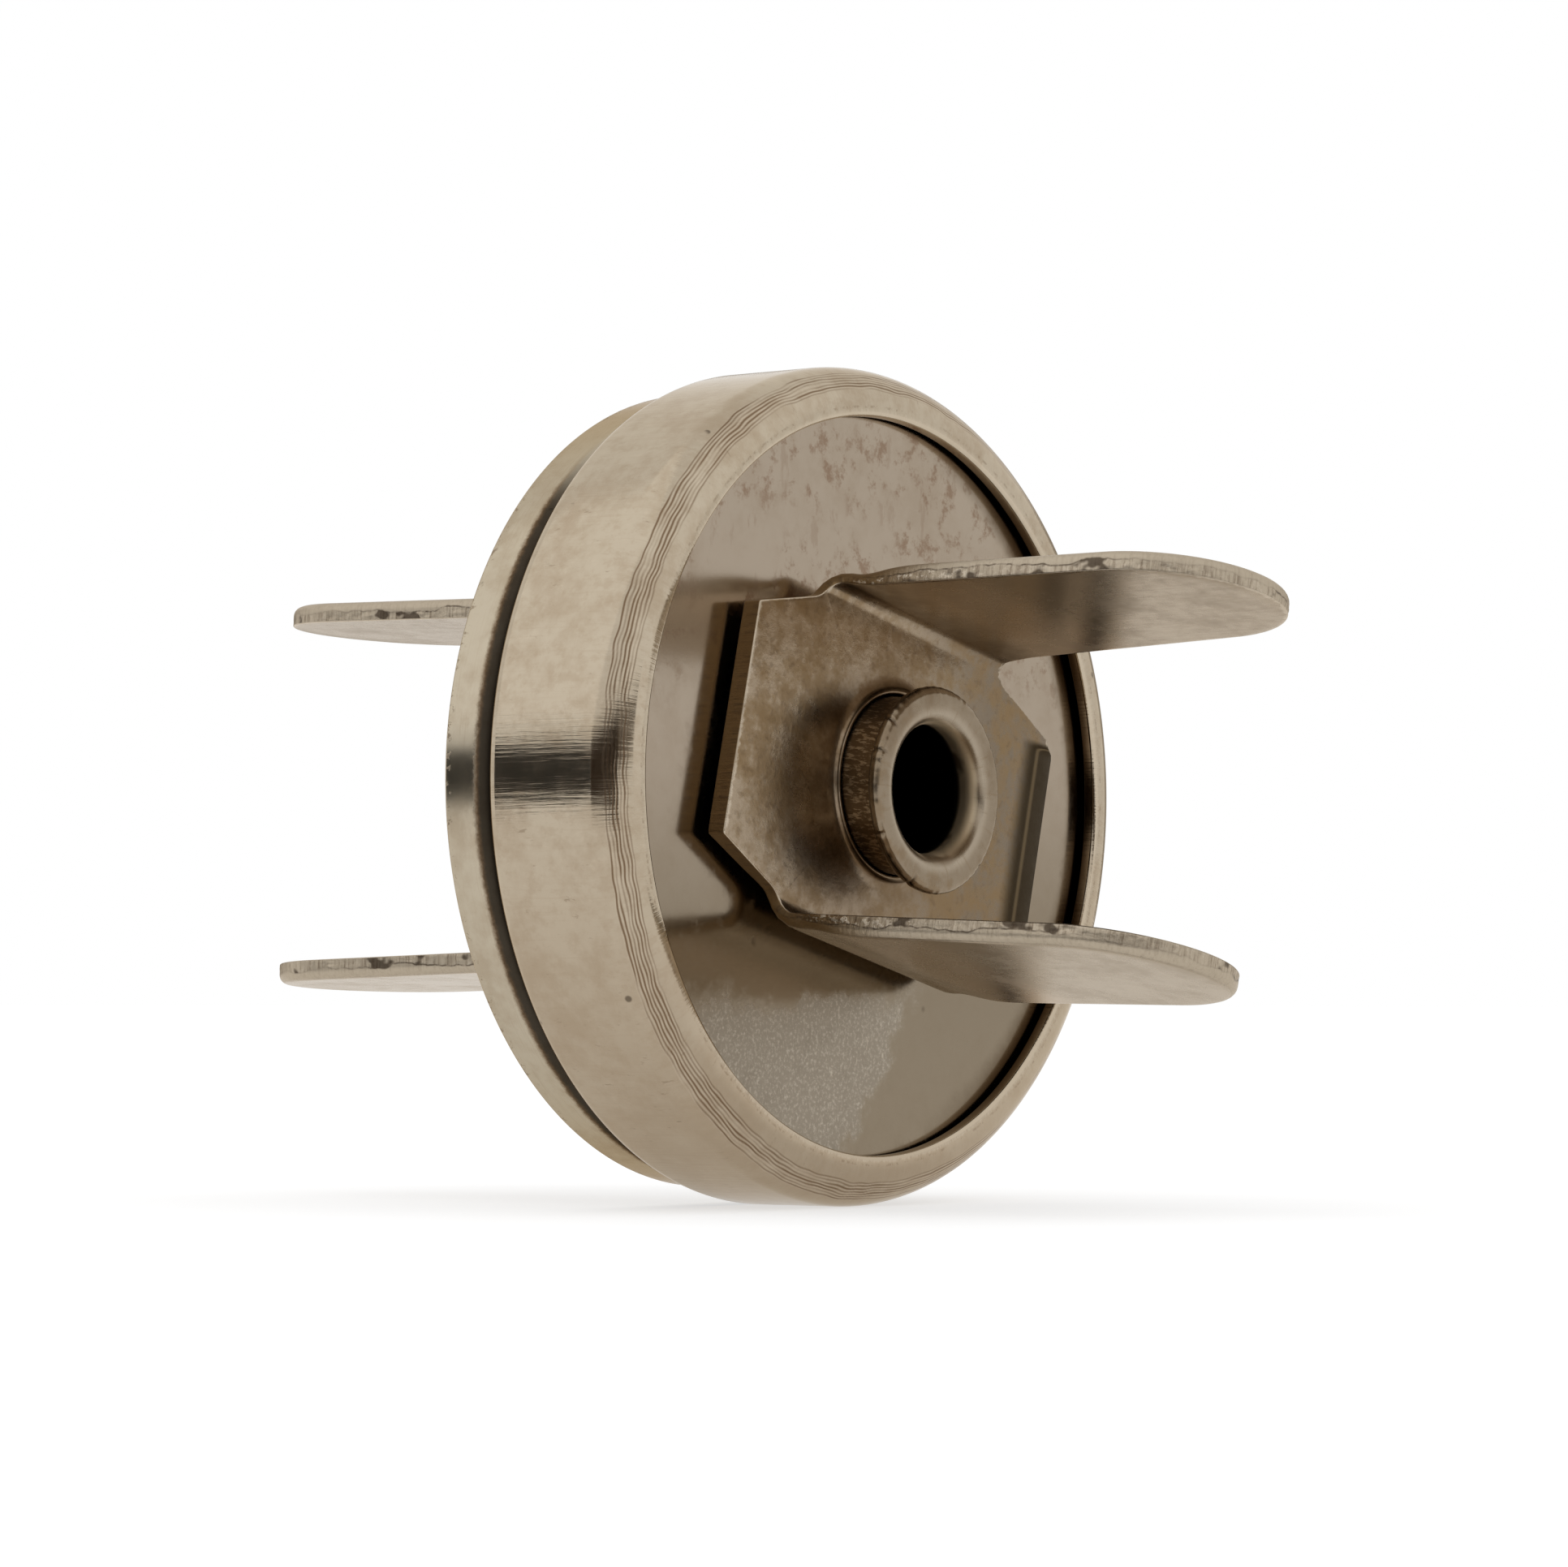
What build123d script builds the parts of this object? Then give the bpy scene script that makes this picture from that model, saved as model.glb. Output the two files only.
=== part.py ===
from build123d import *
import os
from math import cos, radians, sin, sqrt, tan

# A sew-free magnetic snap, closed. X is the axis of the snap: the stud half lies towards -X
# and the magnet half towards +X. Z is up, and the legs of each half stand one above the other.
# The origin is on the axis, in the face of the magnet half's prong plate that the panel lies on.
# All sizes are millimetres.

# Magnet half: a folded cup of sheet holds a ring magnet and a steel back plate.
shell_diameter = 18.0
shell_height = 3.5
shell_sheet = 0.3
shell_front_round = 0.4
shoulder_radius = 0.95
lip_reach = 1.1
sheet_edge_round = 0.1
lip_gap = 0.1
magnet_side_gap = 0.2
magnet_bore_gap = 0.3
magnet_edge_chamfer = 0.15
back_plate_thickness = 0.8
back_plate_edge_gap = 0.07

# Stud half: a thick steel disc with a round stud through it.
disc_step = 0.35
disc_thickness = 1.2
disc_front_round = 0.3
disc_rear_round = 0.08
seam_gap = 0.15
stud_diameter = 5.6
stud_nose_round = 0.5
stud_side_gap = 0.3
stud_nose_gap = 0.1
stud_end_play = 0.05
socket_depth = 1.5

# Tubular rivet ends, the same on both halves.
tube_diameter = 3.8
tube_wall = 0.52
tube_proud_length = 1.5
tube_floor = 0.8
flange_overhang = 0.3
flange_thickness = 0.35
flange_edge_round = 0.12
mouth_radius = 0.34
rivet_head_side_gap = 0.5
rivet_hole_gap = 0.05

# Raised seat that each prong plate is riveted against.
seat_rim_width = 0.85
seat_height = 0.2

# Prong plates: a six-sided base with two legs bent out of it.
prong_sheet = 0.45
base_width = 10.6
base_corner_half_height = 2.5
leg_inner_spacing = 7.2
leg_bend_radius = 0.3
leg_root_width = 6.1
leg_tip_width = 5.3
leg_splay = 1.5
magnet_leg_height = 9.4
stud_leg_height = 11.4
magnet_prong_turn = 14.0
stud_prong_turn = 3.0
die_roll_round = 0.2
cut_edge_roll = 0.4

# Piercing pushes up a low lip round the rivet hole of a prong plate.
pierced_lip_height = 0.12
pierced_lip_rim_width = 0.13
pierced_lip_slope_width = 0.17

# Places along the axis, from the panel's face at 0 inwards.
magnet_prong_back_x = -prong_sheet
back_plate_outer_x = magnet_prong_back_x - seat_height
back_plate_inner_x = back_plate_outer_x - back_plate_thickness
lip_inner_x = back_plate_outer_x + lip_gap
lip_x = lip_inner_x + shell_sheet
shell_front_x = lip_x - shell_height
shell_inner_x = shell_front_x + shell_sheet
socket_floor_x = shell_front_x + socket_depth
disc_front_x = shell_front_x - seam_gap
disc_rear_x = disc_front_x - disc_thickness
stud_prong_back_x = disc_rear_x - seat_height
stud_prong_face_x = stud_prong_back_x - prong_sheet

# Radii about the axis, from the sizes above.
shell_radius = shell_diameter / 2
shell_inner_radius = shell_radius - shell_sheet
lip_opening_radius = shell_radius - lip_reach
stud_radius = stud_diameter / 2
socket_radius = stud_radius + stud_side_gap
magnet_radius = shell_inner_radius - magnet_side_gap
magnet_bore_radius = socket_radius + magnet_bore_gap
disc_radius = shell_radius - disc_step
tube_radius = tube_diameter / 2
tube_bore_radius = tube_radius - tube_wall
flange_radius = tube_radius + flange_overhang
rivet_head_radius = magnet_bore_radius - rivet_head_side_gap
rivet_hole_radius = tube_radius + rivet_hole_gap
seat_radius = rivet_hole_radius + seat_rim_width
pierced_lip_rim_radius = rivet_hole_radius + pierced_lip_rim_width
pierced_lip_foot_radius = pierced_lip_rim_radius + pierced_lip_slope_width

# Two places closer together than this are the same.
same_place = 1e-6

os.makedirs("parts", exist_ok=True)


def flat_for(round_radius):
    """Length of the 45 degree chamfer that touches an edge's round of this radius."""
    return (2 - sqrt(2)) * round_radius


def corners_at(sketch, x, radius):
    """The vertices of a half outline at one place along the axis and one radius."""
    return [v for v in sketch.vertices() if abs(v.X - x) < same_place and abs(v.Y - radius) < same_place]


def tube_end_outline(face_x, direction, bore_bottom_x, body):
    """Half outline, radius over axis, of a tube that starts at the points in body and ends rolled over.

    face_x is the face that the tube stands proud of, and direction is +1 or -1 along the axis.
    """
    end_x = face_x + direction * tube_proud_length
    flange_back_x = end_x - direction * flange_thickness
    return body + [
        (flange_back_x, tube_radius),
        (flange_back_x, flange_radius),
        (end_x, flange_radius),
        (end_x, tube_bore_radius),
        (bore_bottom_x, tube_bore_radius),
        (bore_bottom_x, 0),
    ]


def soften_tube_end(sketch, face_x, direction):
    """Rounds the mouth of a tube's half outline and takes the edges off its rolled flange."""
    end_x = face_x + direction * tube_proud_length
    flange_back_x = end_x - direction * flange_thickness
    fillet(corners_at(sketch, end_x, tube_bore_radius), radius=mouth_radius)
    for flange_face_x in (flange_back_x, end_x):
        chamfer(corners_at(sketch, flange_face_x, flange_radius), length=flat_for(flange_edge_round))


# Shell of the magnet half: one drawn cup, its rim folded in over the back plate.
fold_flat = flat_for(shoulder_radius - shell_sheet)
with BuildPart() as female_shell:
    with BuildSketch() as shell_section:
        with BuildLine():
            Polyline(
                (shell_front_x, socket_radius),
                (shell_front_x, shell_radius),
                (lip_x, shell_radius),
                (lip_x, lip_opening_radius),
                (lip_inner_x, lip_opening_radius),
                (lip_inner_x, shell_inner_radius),
                (shell_inner_x, shell_inner_radius),
                (shell_inner_x, socket_radius),
                close=True,
            )
        make_face()
        fillet(corners_at(shell_section, lip_x, shell_radius), radius=shoulder_radius)
        chamfer(corners_at(shell_section, lip_inner_x, shell_inner_radius), length=fold_flat)
        front_flat = flat_for(shell_front_round)
        chamfer(corners_at(shell_section, shell_front_x, shell_radius), length=front_flat)
        inner_front_flat = flat_for(shell_front_round - shell_sheet)
        chamfer(corners_at(shell_section, shell_inner_x, shell_inner_radius), length=inner_front_flat)
        sheet_edge_flat = flat_for(sheet_edge_round)
        chamfer(corners_at(shell_section, lip_x, lip_opening_radius), length=sheet_edge_flat)
        chamfer(corners_at(shell_section, shell_front_x, socket_radius), length=sheet_edge_flat)
    revolve(axis=Axis.X)
female_shell.part.label = "female_shell"
export_step(female_shell.part, "parts/female_shell.step")

# Ring magnet, clamped between the front of the shell and the back plate.
with BuildPart() as magnet_ring:
    with BuildSketch(Plane.YZ.offset(shell_inner_x)):
        Circle(magnet_radius)
        Circle(magnet_bore_radius, mode=Mode.SUBTRACT)
    extrude(amount=back_plate_inner_x - shell_inner_x)
    chamfer(magnet_ring.edges().filter_by(GeomType.CIRCLE), length=magnet_edge_chamfer)
magnet_ring.part.label = "magnet_ring"
export_step(magnet_ring.part, "parts/magnet_ring.step")

# Back plate under the folded lip. Its edge just clears the inside of the fold.
back_plate_radius = shell_inner_radius - fold_flat + lip_gap - back_plate_edge_gap
with BuildPart() as female_back_plate:
    with BuildSketch(Plane.YZ.offset(back_plate_inner_x)):
        Circle(back_plate_radius)
    extrude(amount=back_plate_thickness)
    with BuildSketch(Plane.YZ.offset(back_plate_outer_x)):
        Circle(seat_radius)
    extrude(amount=seat_height)
    with BuildSketch(Plane.YZ.offset(back_plate_inner_x)):
        Circle(rivet_hole_radius)
    extrude(amount=back_plate_thickness + seat_height, mode=Mode.SUBTRACT)
female_back_plate.part.label = "female_back_plate"
export_step(female_back_plate.part, "parts/female_back_plate.step")

# Rivet of the magnet half. Its head is the floor of the socket, its tube ends beyond the panel's face.
with BuildPart() as female_rivet:
    with BuildSketch() as rivet_section:
        with BuildLine():
            head = [
                (socket_floor_x, 0),
                (socket_floor_x, rivet_head_radius),
                (back_plate_inner_x, rivet_head_radius),
                (back_plate_inner_x, tube_radius),
            ]
            Polyline(tube_end_outline(0, 1, socket_floor_x + tube_floor, head), close=True)
        make_face()
        soften_tube_end(rivet_section, 0, 1)
    revolve(axis=Axis.X)
female_rivet.part.label = "female_rivet"
export_step(female_rivet.part, "parts/female_rivet.step")

# Disc of the stud half, with the raised seat for its prong plate at the rear.
with BuildPart() as male_disc:
    with BuildSketch() as disc_section:
        with BuildLine():
            Polyline(
                (disc_front_x, rivet_hole_radius),
                (disc_front_x, disc_radius),
                (disc_rear_x, disc_radius),
                (disc_rear_x, seat_radius),
                (stud_prong_back_x, seat_radius),
                (stud_prong_back_x, rivet_hole_radius),
                close=True,
            )
        make_face()
        chamfer(corners_at(disc_section, disc_front_x, disc_radius), length=flat_for(disc_front_round))
        chamfer(corners_at(disc_section, disc_rear_x, disc_radius), length=flat_for(disc_rear_round))
    revolve(axis=Axis.X)
male_disc.part.label = "male_disc"
export_step(male_disc.part, "parts/male_disc.step")

# Stud: its nose enters the socket, its tube goes through the disc and the prong plate.
stud_shoulder_x = disc_front_x + stud_end_play
stud_nose_x = socket_floor_x - stud_nose_gap
with BuildPart() as male_stud:
    with BuildSketch() as stud_section:
        with BuildLine():
            nose = [
                (stud_nose_x, 0),
                (stud_nose_x, stud_radius),
                (stud_shoulder_x, stud_radius),
                (stud_shoulder_x, tube_radius),
            ]
            Polyline(tube_end_outline(stud_prong_face_x, -1, stud_shoulder_x - tube_floor, nose), close=True)
        make_face()
        soften_tube_end(stud_section, stud_prong_face_x, -1)
        chamfer(corners_at(stud_section, stud_nose_x, stud_radius), length=flat_for(stud_nose_round))
    revolve(axis=Axis.X)
male_stud.part.label = "male_stud"
export_step(male_stud.part, "parts/male_stud.step")


def prong_plate(back_x, direction, turn, leg_height):
    """A blanked sheet, turned about the axis: six-sided base, round-ended legs bent to point away.

    back_x is the face that bears on the seat, and direction is +1 or -1 along the axis.
    """
    across = Vector(0, cos(radians(turn)), -sin(radians(turn)))
    outward = Vector(direction, 0, 0)
    base_plane = Plane(origin=(back_x, 0, 0), x_dir=across, z_dir=outward)
    side_plane = Plane(origin=(back_x, 0, 0), x_dir=outward, z_dir=across)
    leg_plane = Plane(origin=(back_x, 0, 0), x_dir=across, z_dir=-base_plane.y_dir)
    half_spacing = leg_inner_spacing / 2
    half_spread = half_spacing + leg_height * tan(radians(leg_splay))
    half_root = leg_root_width / 2
    root_line = half_spacing - leg_bend_radius
    tip_radius = leg_tip_width / 2
    outline_depth = half_spread + 2 * prong_sheet

    with BuildPart() as plate:
        # Strip of both legs, bent up from the base: its inner skin, thickened outwards.
        with BuildSketch(side_plane):
            with BuildLine():
                FilletPolyline(
                    (leg_height + prong_sheet, half_spread),
                    (prong_sheet, half_spacing),
                    (prong_sheet, -half_spacing),
                    (leg_height + prong_sheet, -half_spread),
                    radius=leg_bend_radius,
                )
                offset(amount=prong_sheet, side=Side.RIGHT)
            make_face()
        extrude(amount=half_root, both=True)

        # Outline of the legs, narrowing to their round ends.
        with BuildSketch(leg_plane):
            with BuildLine():
                Line((-half_root, 0), (half_root, 0))
                CenterArc((0, leg_height - tip_radius), tip_radius, 0, 180)
            make_hull()
        extrude(amount=outline_depth, both=True, mode=Mode.INTERSECT)

        # Blanking leaves a soft edge round the outer skin of each leg.
        leg_direction = Axis((0, 0, 0), tuple(base_plane.y_dir))
        axis_direction = Axis((0, 0, 0), tuple(outward))
        skins = plate.faces().filter_by(GeomType.PLANE).sort_by(leg_direction)
        soft_edges = []
        for skin in (skins[0], skins[-1]):
            soft_edges += skin.edges().sort_by(axis_direction)[1:]
        chamfer(soft_edges, length=flat_for(die_roll_round))

        # Base, as wide as the blank, down to the line where the legs begin to bend.
        with BuildSketch(base_plane):
            with BuildLine():
                Polyline(
                    (base_width / 2, base_corner_half_height),
                    (half_root, root_line),
                    (-half_root, root_line),
                    (-base_width / 2, base_corner_half_height),
                    (-base_width / 2, -base_corner_half_height),
                    (-half_root, -root_line),
                    (half_root, -root_line),
                    (base_width / 2, -base_corner_half_height),
                    close=True,
                )
            make_face()
        extrude(amount=prong_sheet)

        # The side that was cut off the coil last is rolled over on the front face.
        across_direction = Axis((0, 0, 0), tuple(across))
        cut_side = plate.faces().filter_by(GeomType.PLANE).sort_by(across_direction)[-1]
        fillet(cut_side.edges().sort_by(axis_direction)[-1], radius=cut_edge_roll)

        # Pierced lip on the front face, wide at its foot, and the hole through it.
        with BuildSketch(base_plane.offset(prong_sheet)):
            Circle(pierced_lip_foot_radius)
        with BuildSketch(base_plane.offset(prong_sheet + pierced_lip_height)):
            Circle(pierced_lip_rim_radius)
        loft()
        with BuildSketch(base_plane):
            Circle(rivet_hole_radius)
        extrude(amount=prong_sheet + pierced_lip_height, mode=Mode.SUBTRACT)
    return plate


female_prong_plate = prong_plate(magnet_prong_back_x, 1, magnet_prong_turn, magnet_leg_height)
female_prong_plate.part.label = "female_prong_plate"
export_step(female_prong_plate.part, "parts/female_prong_plate.step")

male_prong_plate = prong_plate(stud_prong_back_x, -1, stud_prong_turn, stud_leg_height)
male_prong_plate.part.label = "male_prong_plate"
export_step(male_prong_plate.part, "parts/male_prong_plate.step")
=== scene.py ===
import logging
from dataclasses import dataclass, field
from enum import Enum
from math import acos, atan2, cos, pi, radians, sin, sqrt, tan

import bpy
import numpy as np
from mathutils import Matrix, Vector
from numpy.typing import NDArray


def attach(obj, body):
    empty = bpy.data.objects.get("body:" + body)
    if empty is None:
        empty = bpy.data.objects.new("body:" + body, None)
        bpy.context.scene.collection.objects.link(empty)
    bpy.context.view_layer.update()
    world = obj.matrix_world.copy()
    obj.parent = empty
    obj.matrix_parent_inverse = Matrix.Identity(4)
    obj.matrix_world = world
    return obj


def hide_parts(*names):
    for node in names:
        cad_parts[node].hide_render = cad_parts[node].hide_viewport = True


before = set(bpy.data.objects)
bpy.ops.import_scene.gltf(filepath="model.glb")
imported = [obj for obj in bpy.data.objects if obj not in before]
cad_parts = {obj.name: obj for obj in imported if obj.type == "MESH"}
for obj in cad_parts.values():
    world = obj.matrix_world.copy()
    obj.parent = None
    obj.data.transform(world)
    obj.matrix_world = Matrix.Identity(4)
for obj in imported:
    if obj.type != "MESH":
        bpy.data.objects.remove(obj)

# A closed sew-free magnetic snap. X is the snap's axis, with the stud half towards -X and the
# magnet half towards +X, Z is up, and the origin is in the face of the magnet half's prong plate.
# The makers' sizes below are in millimetres, and meshes are written in metres.

LOG = logging.getLogger("magnetic_snap")
METRES_PER_MM = 0.001
MM_PER_METRE = 1000.0
LOWEST_POINT = -9.0
WELD_STEP = 1e-5
ARC_STEP = 0.13
CLOUDS = (0.4, 0.7)
FRAY = (0.2, 0.8)
WHITE = (1.0, 1.0, 1.0, 1.0)

Array = NDArray[np.float64]
Faces = NDArray[np.int64]
Pair = tuple[float, float]
Triple = tuple[float, float, float]
Colour = Triple
Socket = bpy.types.NodeSocket


class Body(Enum):
    """The parts of the snap that move together."""

    MAGNET_HALF = "magnet_half"
    STUD = "stud"
    STUD_HALF = "stud_half"


# Shapes worked out as arrays.


def smooth_step(value: Array | float, low: float, high: float) -> Array:
    """A soft step: 3t^2 - 2t^3, where t runs from 0 at low to 1 at high.

    Args:
        value: Where the step is read.
        low: The value at which it leaves 0.
        high: The value at which it reaches 1.

    Returns:
        The step, between 0 and 1.
    """
    t = np.clip((value - low) / (high - low), 0.0, 1.0)
    return t * t * (3.0 - 2.0 * t)


def ring_wobble(angle: Array, waves: tuple[int, int], seed: int) -> Array:
    """A wavy value round a full turn: the mean of cosines of whole wave counts with random phases.

    Args:
        angle: Angles round the axis, in radians.
        waves: The fewest and the most waves in one turn.
        seed: Seed of the phases.

    Returns:
        The wobble, about -1 to 1, the same shape as angle.
    """
    rng = np.random.default_rng(seed)
    counts = np.arange(waves[0], waves[1] + 1)
    phases = rng.uniform(0.0, 2.0 * pi, counts.size)
    weights = rng.uniform(0.4, 1.0, counts.size)
    total = np.tensordot(np.cos(angle[..., None] * counts + phases), weights, axes=1)
    return total / np.sqrt((weights**2).sum() * 2.0)


def field_wobble(points: Array, wavelength: float, seed: int, waves: int = 14) -> Array:
    """A smooth random field: the mean of sine waves that run in random directions.

    Args:
        points: Places, in millimetres, in the last axis.
        wavelength: The shortest wave, in millimetres. The longest is three times that.
        seed: Seed of the directions and phases.
        waves: How many sine waves are added up.

    Returns:
        The field, about -1 to 1, one value for each place.
    """
    rng = np.random.default_rng(seed)
    directions = rng.normal(size=(points.shape[-1], waves))
    directions /= np.linalg.norm(directions, axis=0)
    numbers = 2.0 * pi / (wavelength * rng.uniform(1.0, 3.0, waves))
    phases = rng.uniform(0.0, 2.0 * pi, waves)
    return np.sin(points @ (directions * numbers) + phases).sum(axis=-1) / sqrt(waves)


def rounded_line(
    corners: list[Pair],
    rounds: list[float],
    step: float,
    closed: bool,
    fine: dict[int, Array] | None = None,
) -> Array:
    """A line through corners that are rounded by arcs, divided finely along its runs and its arcs.

    An arc of radius R at a corner that turns by w touches both runs R tan(w/2) from the corner,
    and its points are centre + R (cos, sin) of evenly spaced angles.

    Args:
        corners: The corners, in order.
        rounds: The radius at each corner, 0 for a sharp one.
        step: The longest distance between points on a run.
        closed: Whether the last corner joins the first.
        fine: Shares of the arc at which points stand, for corners that need more of them.

    Returns:
        The points, one row each.
    """
    fine = fine or {}
    places = np.array(corners, float)
    count = len(places)
    arcs: list[Array] = []
    for i in range(count):
        here = places[i]
        if rounds[i] == 0.0 or (not closed and i in (0, count - 1)):
            arcs.append(here[None, :])
            continue
        came = here - places[i - 1]
        goes = places[(i + 1) % count] - here
        came, goes = came / np.linalg.norm(came), goes / np.linalg.norm(goes)
        turn = acos(float(np.clip(came @ goes, -1.0, 1.0)))
        side = np.sign(came[0] * goes[1] - came[1] * goes[0])
        inward = side * np.array([-came[1], came[0]])
        centre = here - came * rounds[i] * tan(turn / 2) + inward * rounds[i]
        sweep = turn * fine.get(i, np.linspace(0.0, 1.0, max(5, int(turn / ARC_STEP))))
        spokes = np.outer(np.sin(sweep), came) - np.outer(np.cos(sweep), inward)
        arcs.append(centre + rounds[i] * spokes)
    pieces: list[Array] = []
    for i, arc in enumerate(arcs):
        pieces.append(arc)
        if i == count - 1 and not closed:
            break
        start, end = arc[-1], arcs[(i + 1) % count][0]
        steps = max(2, int(np.linalg.norm(end - start) / step) + 2)
        shares = np.linspace(0.0, 1.0, steps)[1:-1]
        pieces.append(start + np.outer(shares, end - start))
    return np.concatenate(pieces)


def line_lengths(points: Array, closed: bool) -> Array:
    """Running length along a line.

    Args:
        points: The line's points, one row each.
        closed: Whether the last point joins the first.

    Returns:
        The length from the first point to each point, and of the whole line at the end if closed.
    """
    ends = np.roll(points, -1, axis=0) if closed else points[1:]
    starts = points if closed else points[:-1]
    return np.concatenate([[0.0], np.cumsum(np.linalg.norm(ends - starts, axis=1))])


def line_normals(points: Array, closed: bool) -> Array:
    """Unit normals of a plane line, turned a quarter turn clockwise from its direction.

    Args:
        points: The line's points, one row each.
        closed: Whether the last point joins the first.

    Returns:
        One normal for each point.
    """
    if closed:
        along = np.roll(points, -1, axis=0) - np.roll(points, 1, axis=0)
    else:
        along = np.gradient(points, axis=0)
    along /= np.maximum(np.linalg.norm(along, axis=1, keepdims=True), 1e-12)
    return np.stack([along[:, 1], -along[:, 0]], axis=1)


def grid_faces(rows: int, columns: int, wrap_rows: bool, wrap_columns: bool) -> Faces:
    """Four-cornered faces of a grid of points, numbered along the columns first.

    Args:
        rows: Points down the grid.
        columns: Points across the grid.
        wrap_rows: Whether the last row joins the first.
        wrap_columns: Whether the last column joins the first.

    Returns:
        The corners' numbers, four for each face.
    """
    numbers = np.arange(rows * columns).reshape(rows, columns)
    down = np.roll(numbers, -1, axis=0)
    right = np.roll(numbers, -1, axis=1)
    both = np.roll(down, -1, axis=1)
    used = tuple(slice(None) if wraps else slice(0, -1) for wraps in (wrap_rows, wrap_columns))
    return np.stack([grid[used].ravel() for grid in (numbers, down, both, right)], axis=1)


@dataclass
class Skin:
    """The closed outer surface of one piece, in millimetres, with values its finish reads."""

    points: Array
    faces: Faces
    values: dict[str, Array] = field(default_factory=dict)

    def welded(self) -> "Skin":
        """Joins points at one place and turns the skin outwards.

        A closed surface encloses a sixth of the sum of its triangles' box products, which is
        positive when it faces outwards.

        Returns:
            The joined skin.
        """
        keys = np.round(self.points / WELD_STEP).astype(np.int64)
        _, kept, place = np.unique(keys, axis=0, return_index=True, return_inverse=True)
        corners = place.reshape(-1)[self.faces]
        points = self.points[kept]
        a, b, c, d = (points[corners[:, i]] for i in range(4))
        volume = np.einsum("ij,ij->", a, np.cross(b, c)) + np.einsum("ij,ij->", a, np.cross(c, d))
        if volume < 0:
            corners = corners[:, ::-1]
        return Skin(points, corners, {name: value[kept] for name, value in self.values.items()})

    def piece(self, name: str) -> bpy.types.Object:
        """Puts the skin into a mesh object that stands at the origin.

        Args:
            name: The piece's name.

        Returns:
            The new object, smooth shaded and linked to the scene.
        """
        skin = self.welded()
        kept = skin.faces != np.roll(skin.faces, -1, axis=1)
        sides = kept.sum(axis=1)
        whole = sides >= 3
        corners = skin.faces[whole][kept[whole]]
        sides = sides[whole]
        mesh = bpy.data.meshes.new(name)
        mesh.vertices.add(len(skin.points))
        mesh.vertices.foreach_set("co", (skin.points * METRES_PER_MM).astype(np.float32).ravel())
        mesh.loops.add(len(corners))
        mesh.loops.foreach_set("vertex_index", corners.astype(np.int32))
        mesh.polygons.add(len(sides))
        mesh.polygons.foreach_set("loop_start", (np.cumsum(sides) - sides).astype(np.int32))
        mesh.polygons.foreach_set("use_smooth", np.ones(len(sides), bool))
        mesh.update(calc_edges=True)
        mesh.validate()
        for label, value in skin.values.items():
            flat = value.astype(np.float32)
            kind, key = ("FLOAT", "value") if flat.ndim == 1 else ("FLOAT_VECTOR", "vector")
            mesh.attributes.new(label, kind, "POINT").data.foreach_set(key, flat.ravel())
        made = bpy.data.objects.new(name, mesh)
        bpy.context.scene.collection.objects.link(made)
        return made


@dataclass
class TurnedForm:
    """A form turned about the snap's axis: its half section is carried round a full turn.

    A point of the section at x and radius r goes to (x, r cos t, r sin t). The section's first
    and last points lie on the axis, or the section is a closed ring.
    """

    section: Array
    closed: bool
    segments: int
    zero: int = 0

    @property
    def lengths(self) -> Array:
        """Running length along the section, in millimetres, from the point numbered zero."""
        lengths = line_lengths(self.section, self.closed)[: len(self.section)]
        return lengths - lengths[self.zero]

    def grid(self) -> tuple[Array, Array, Array]:
        """The section's x, radius and angle over the whole grid.

        Returns:
            Three arrays, section points by segments.
        """
        count = len(self.section)
        turns = np.linspace(0.0, 2.0 * pi, self.segments, endpoint=False)
        angle = np.broadcast_to(turns, (count, self.segments))
        x = np.broadcast_to(self.section[:, :1], angle.shape)
        radius = np.broadcast_to(self.section[:, 1:], angle.shape)
        return x, radius, angle

    def skin(self, lift: Array | None = None, **values: Array) -> Skin:
        """Carries the section round, raised along its own normals by lift.

        Args:
            lift: Height over the plain form, in millimetres, one value for each grid point.
            values: Values that the finish reads, one for each grid point.

        Returns:
            The form's closed skin.
        """
        x, radius, angle = self.grid()
        if lift is not None:
            normals = line_normals(self.section, self.closed) * self.outward()
            x = x + normals[:, :1] * lift
            radius = radius + normals[:, 1:] * lift * (radius > 1e-9)
        places = np.stack([x, radius * np.cos(angle), radius * np.sin(angle)], axis=-1)
        faces = grid_faces(*x.shape, self.closed, True)
        lengths = np.broadcast_to(self.lengths[:, None], x.shape)
        carried = {name: value.reshape(-1) for name, value in values.items()}
        turned = np.stack([np.cos(angle), np.sin(angle), lengths], axis=-1)
        return Skin(places.reshape(-1, 3), faces, {"turned": turned.reshape(-1, 3), **carried})

    def outward(self) -> float:
        """Sign that turns the section's clockwise normals out of the material: +1 or -1.

        Returns:
            The sign.
        """
        x, radius = self.section.T
        area = np.sum(x * np.roll(radius, -1) - np.roll(x, -1) * radius)
        return 1.0 if area > 0 else -1.0


# Finishes.


def fresh_material(name: str) -> tuple[bpy.types.Material, bpy.types.NodeTree]:
    """A new material and its empty tree of nodes.

    Args:
        name: Its name.

    Returns:
        The material and its tree.
    """
    material = bpy.data.materials.new(name)
    material.use_nodes = True
    material.node_tree.nodes.clear()
    return material, material.node_tree


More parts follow.
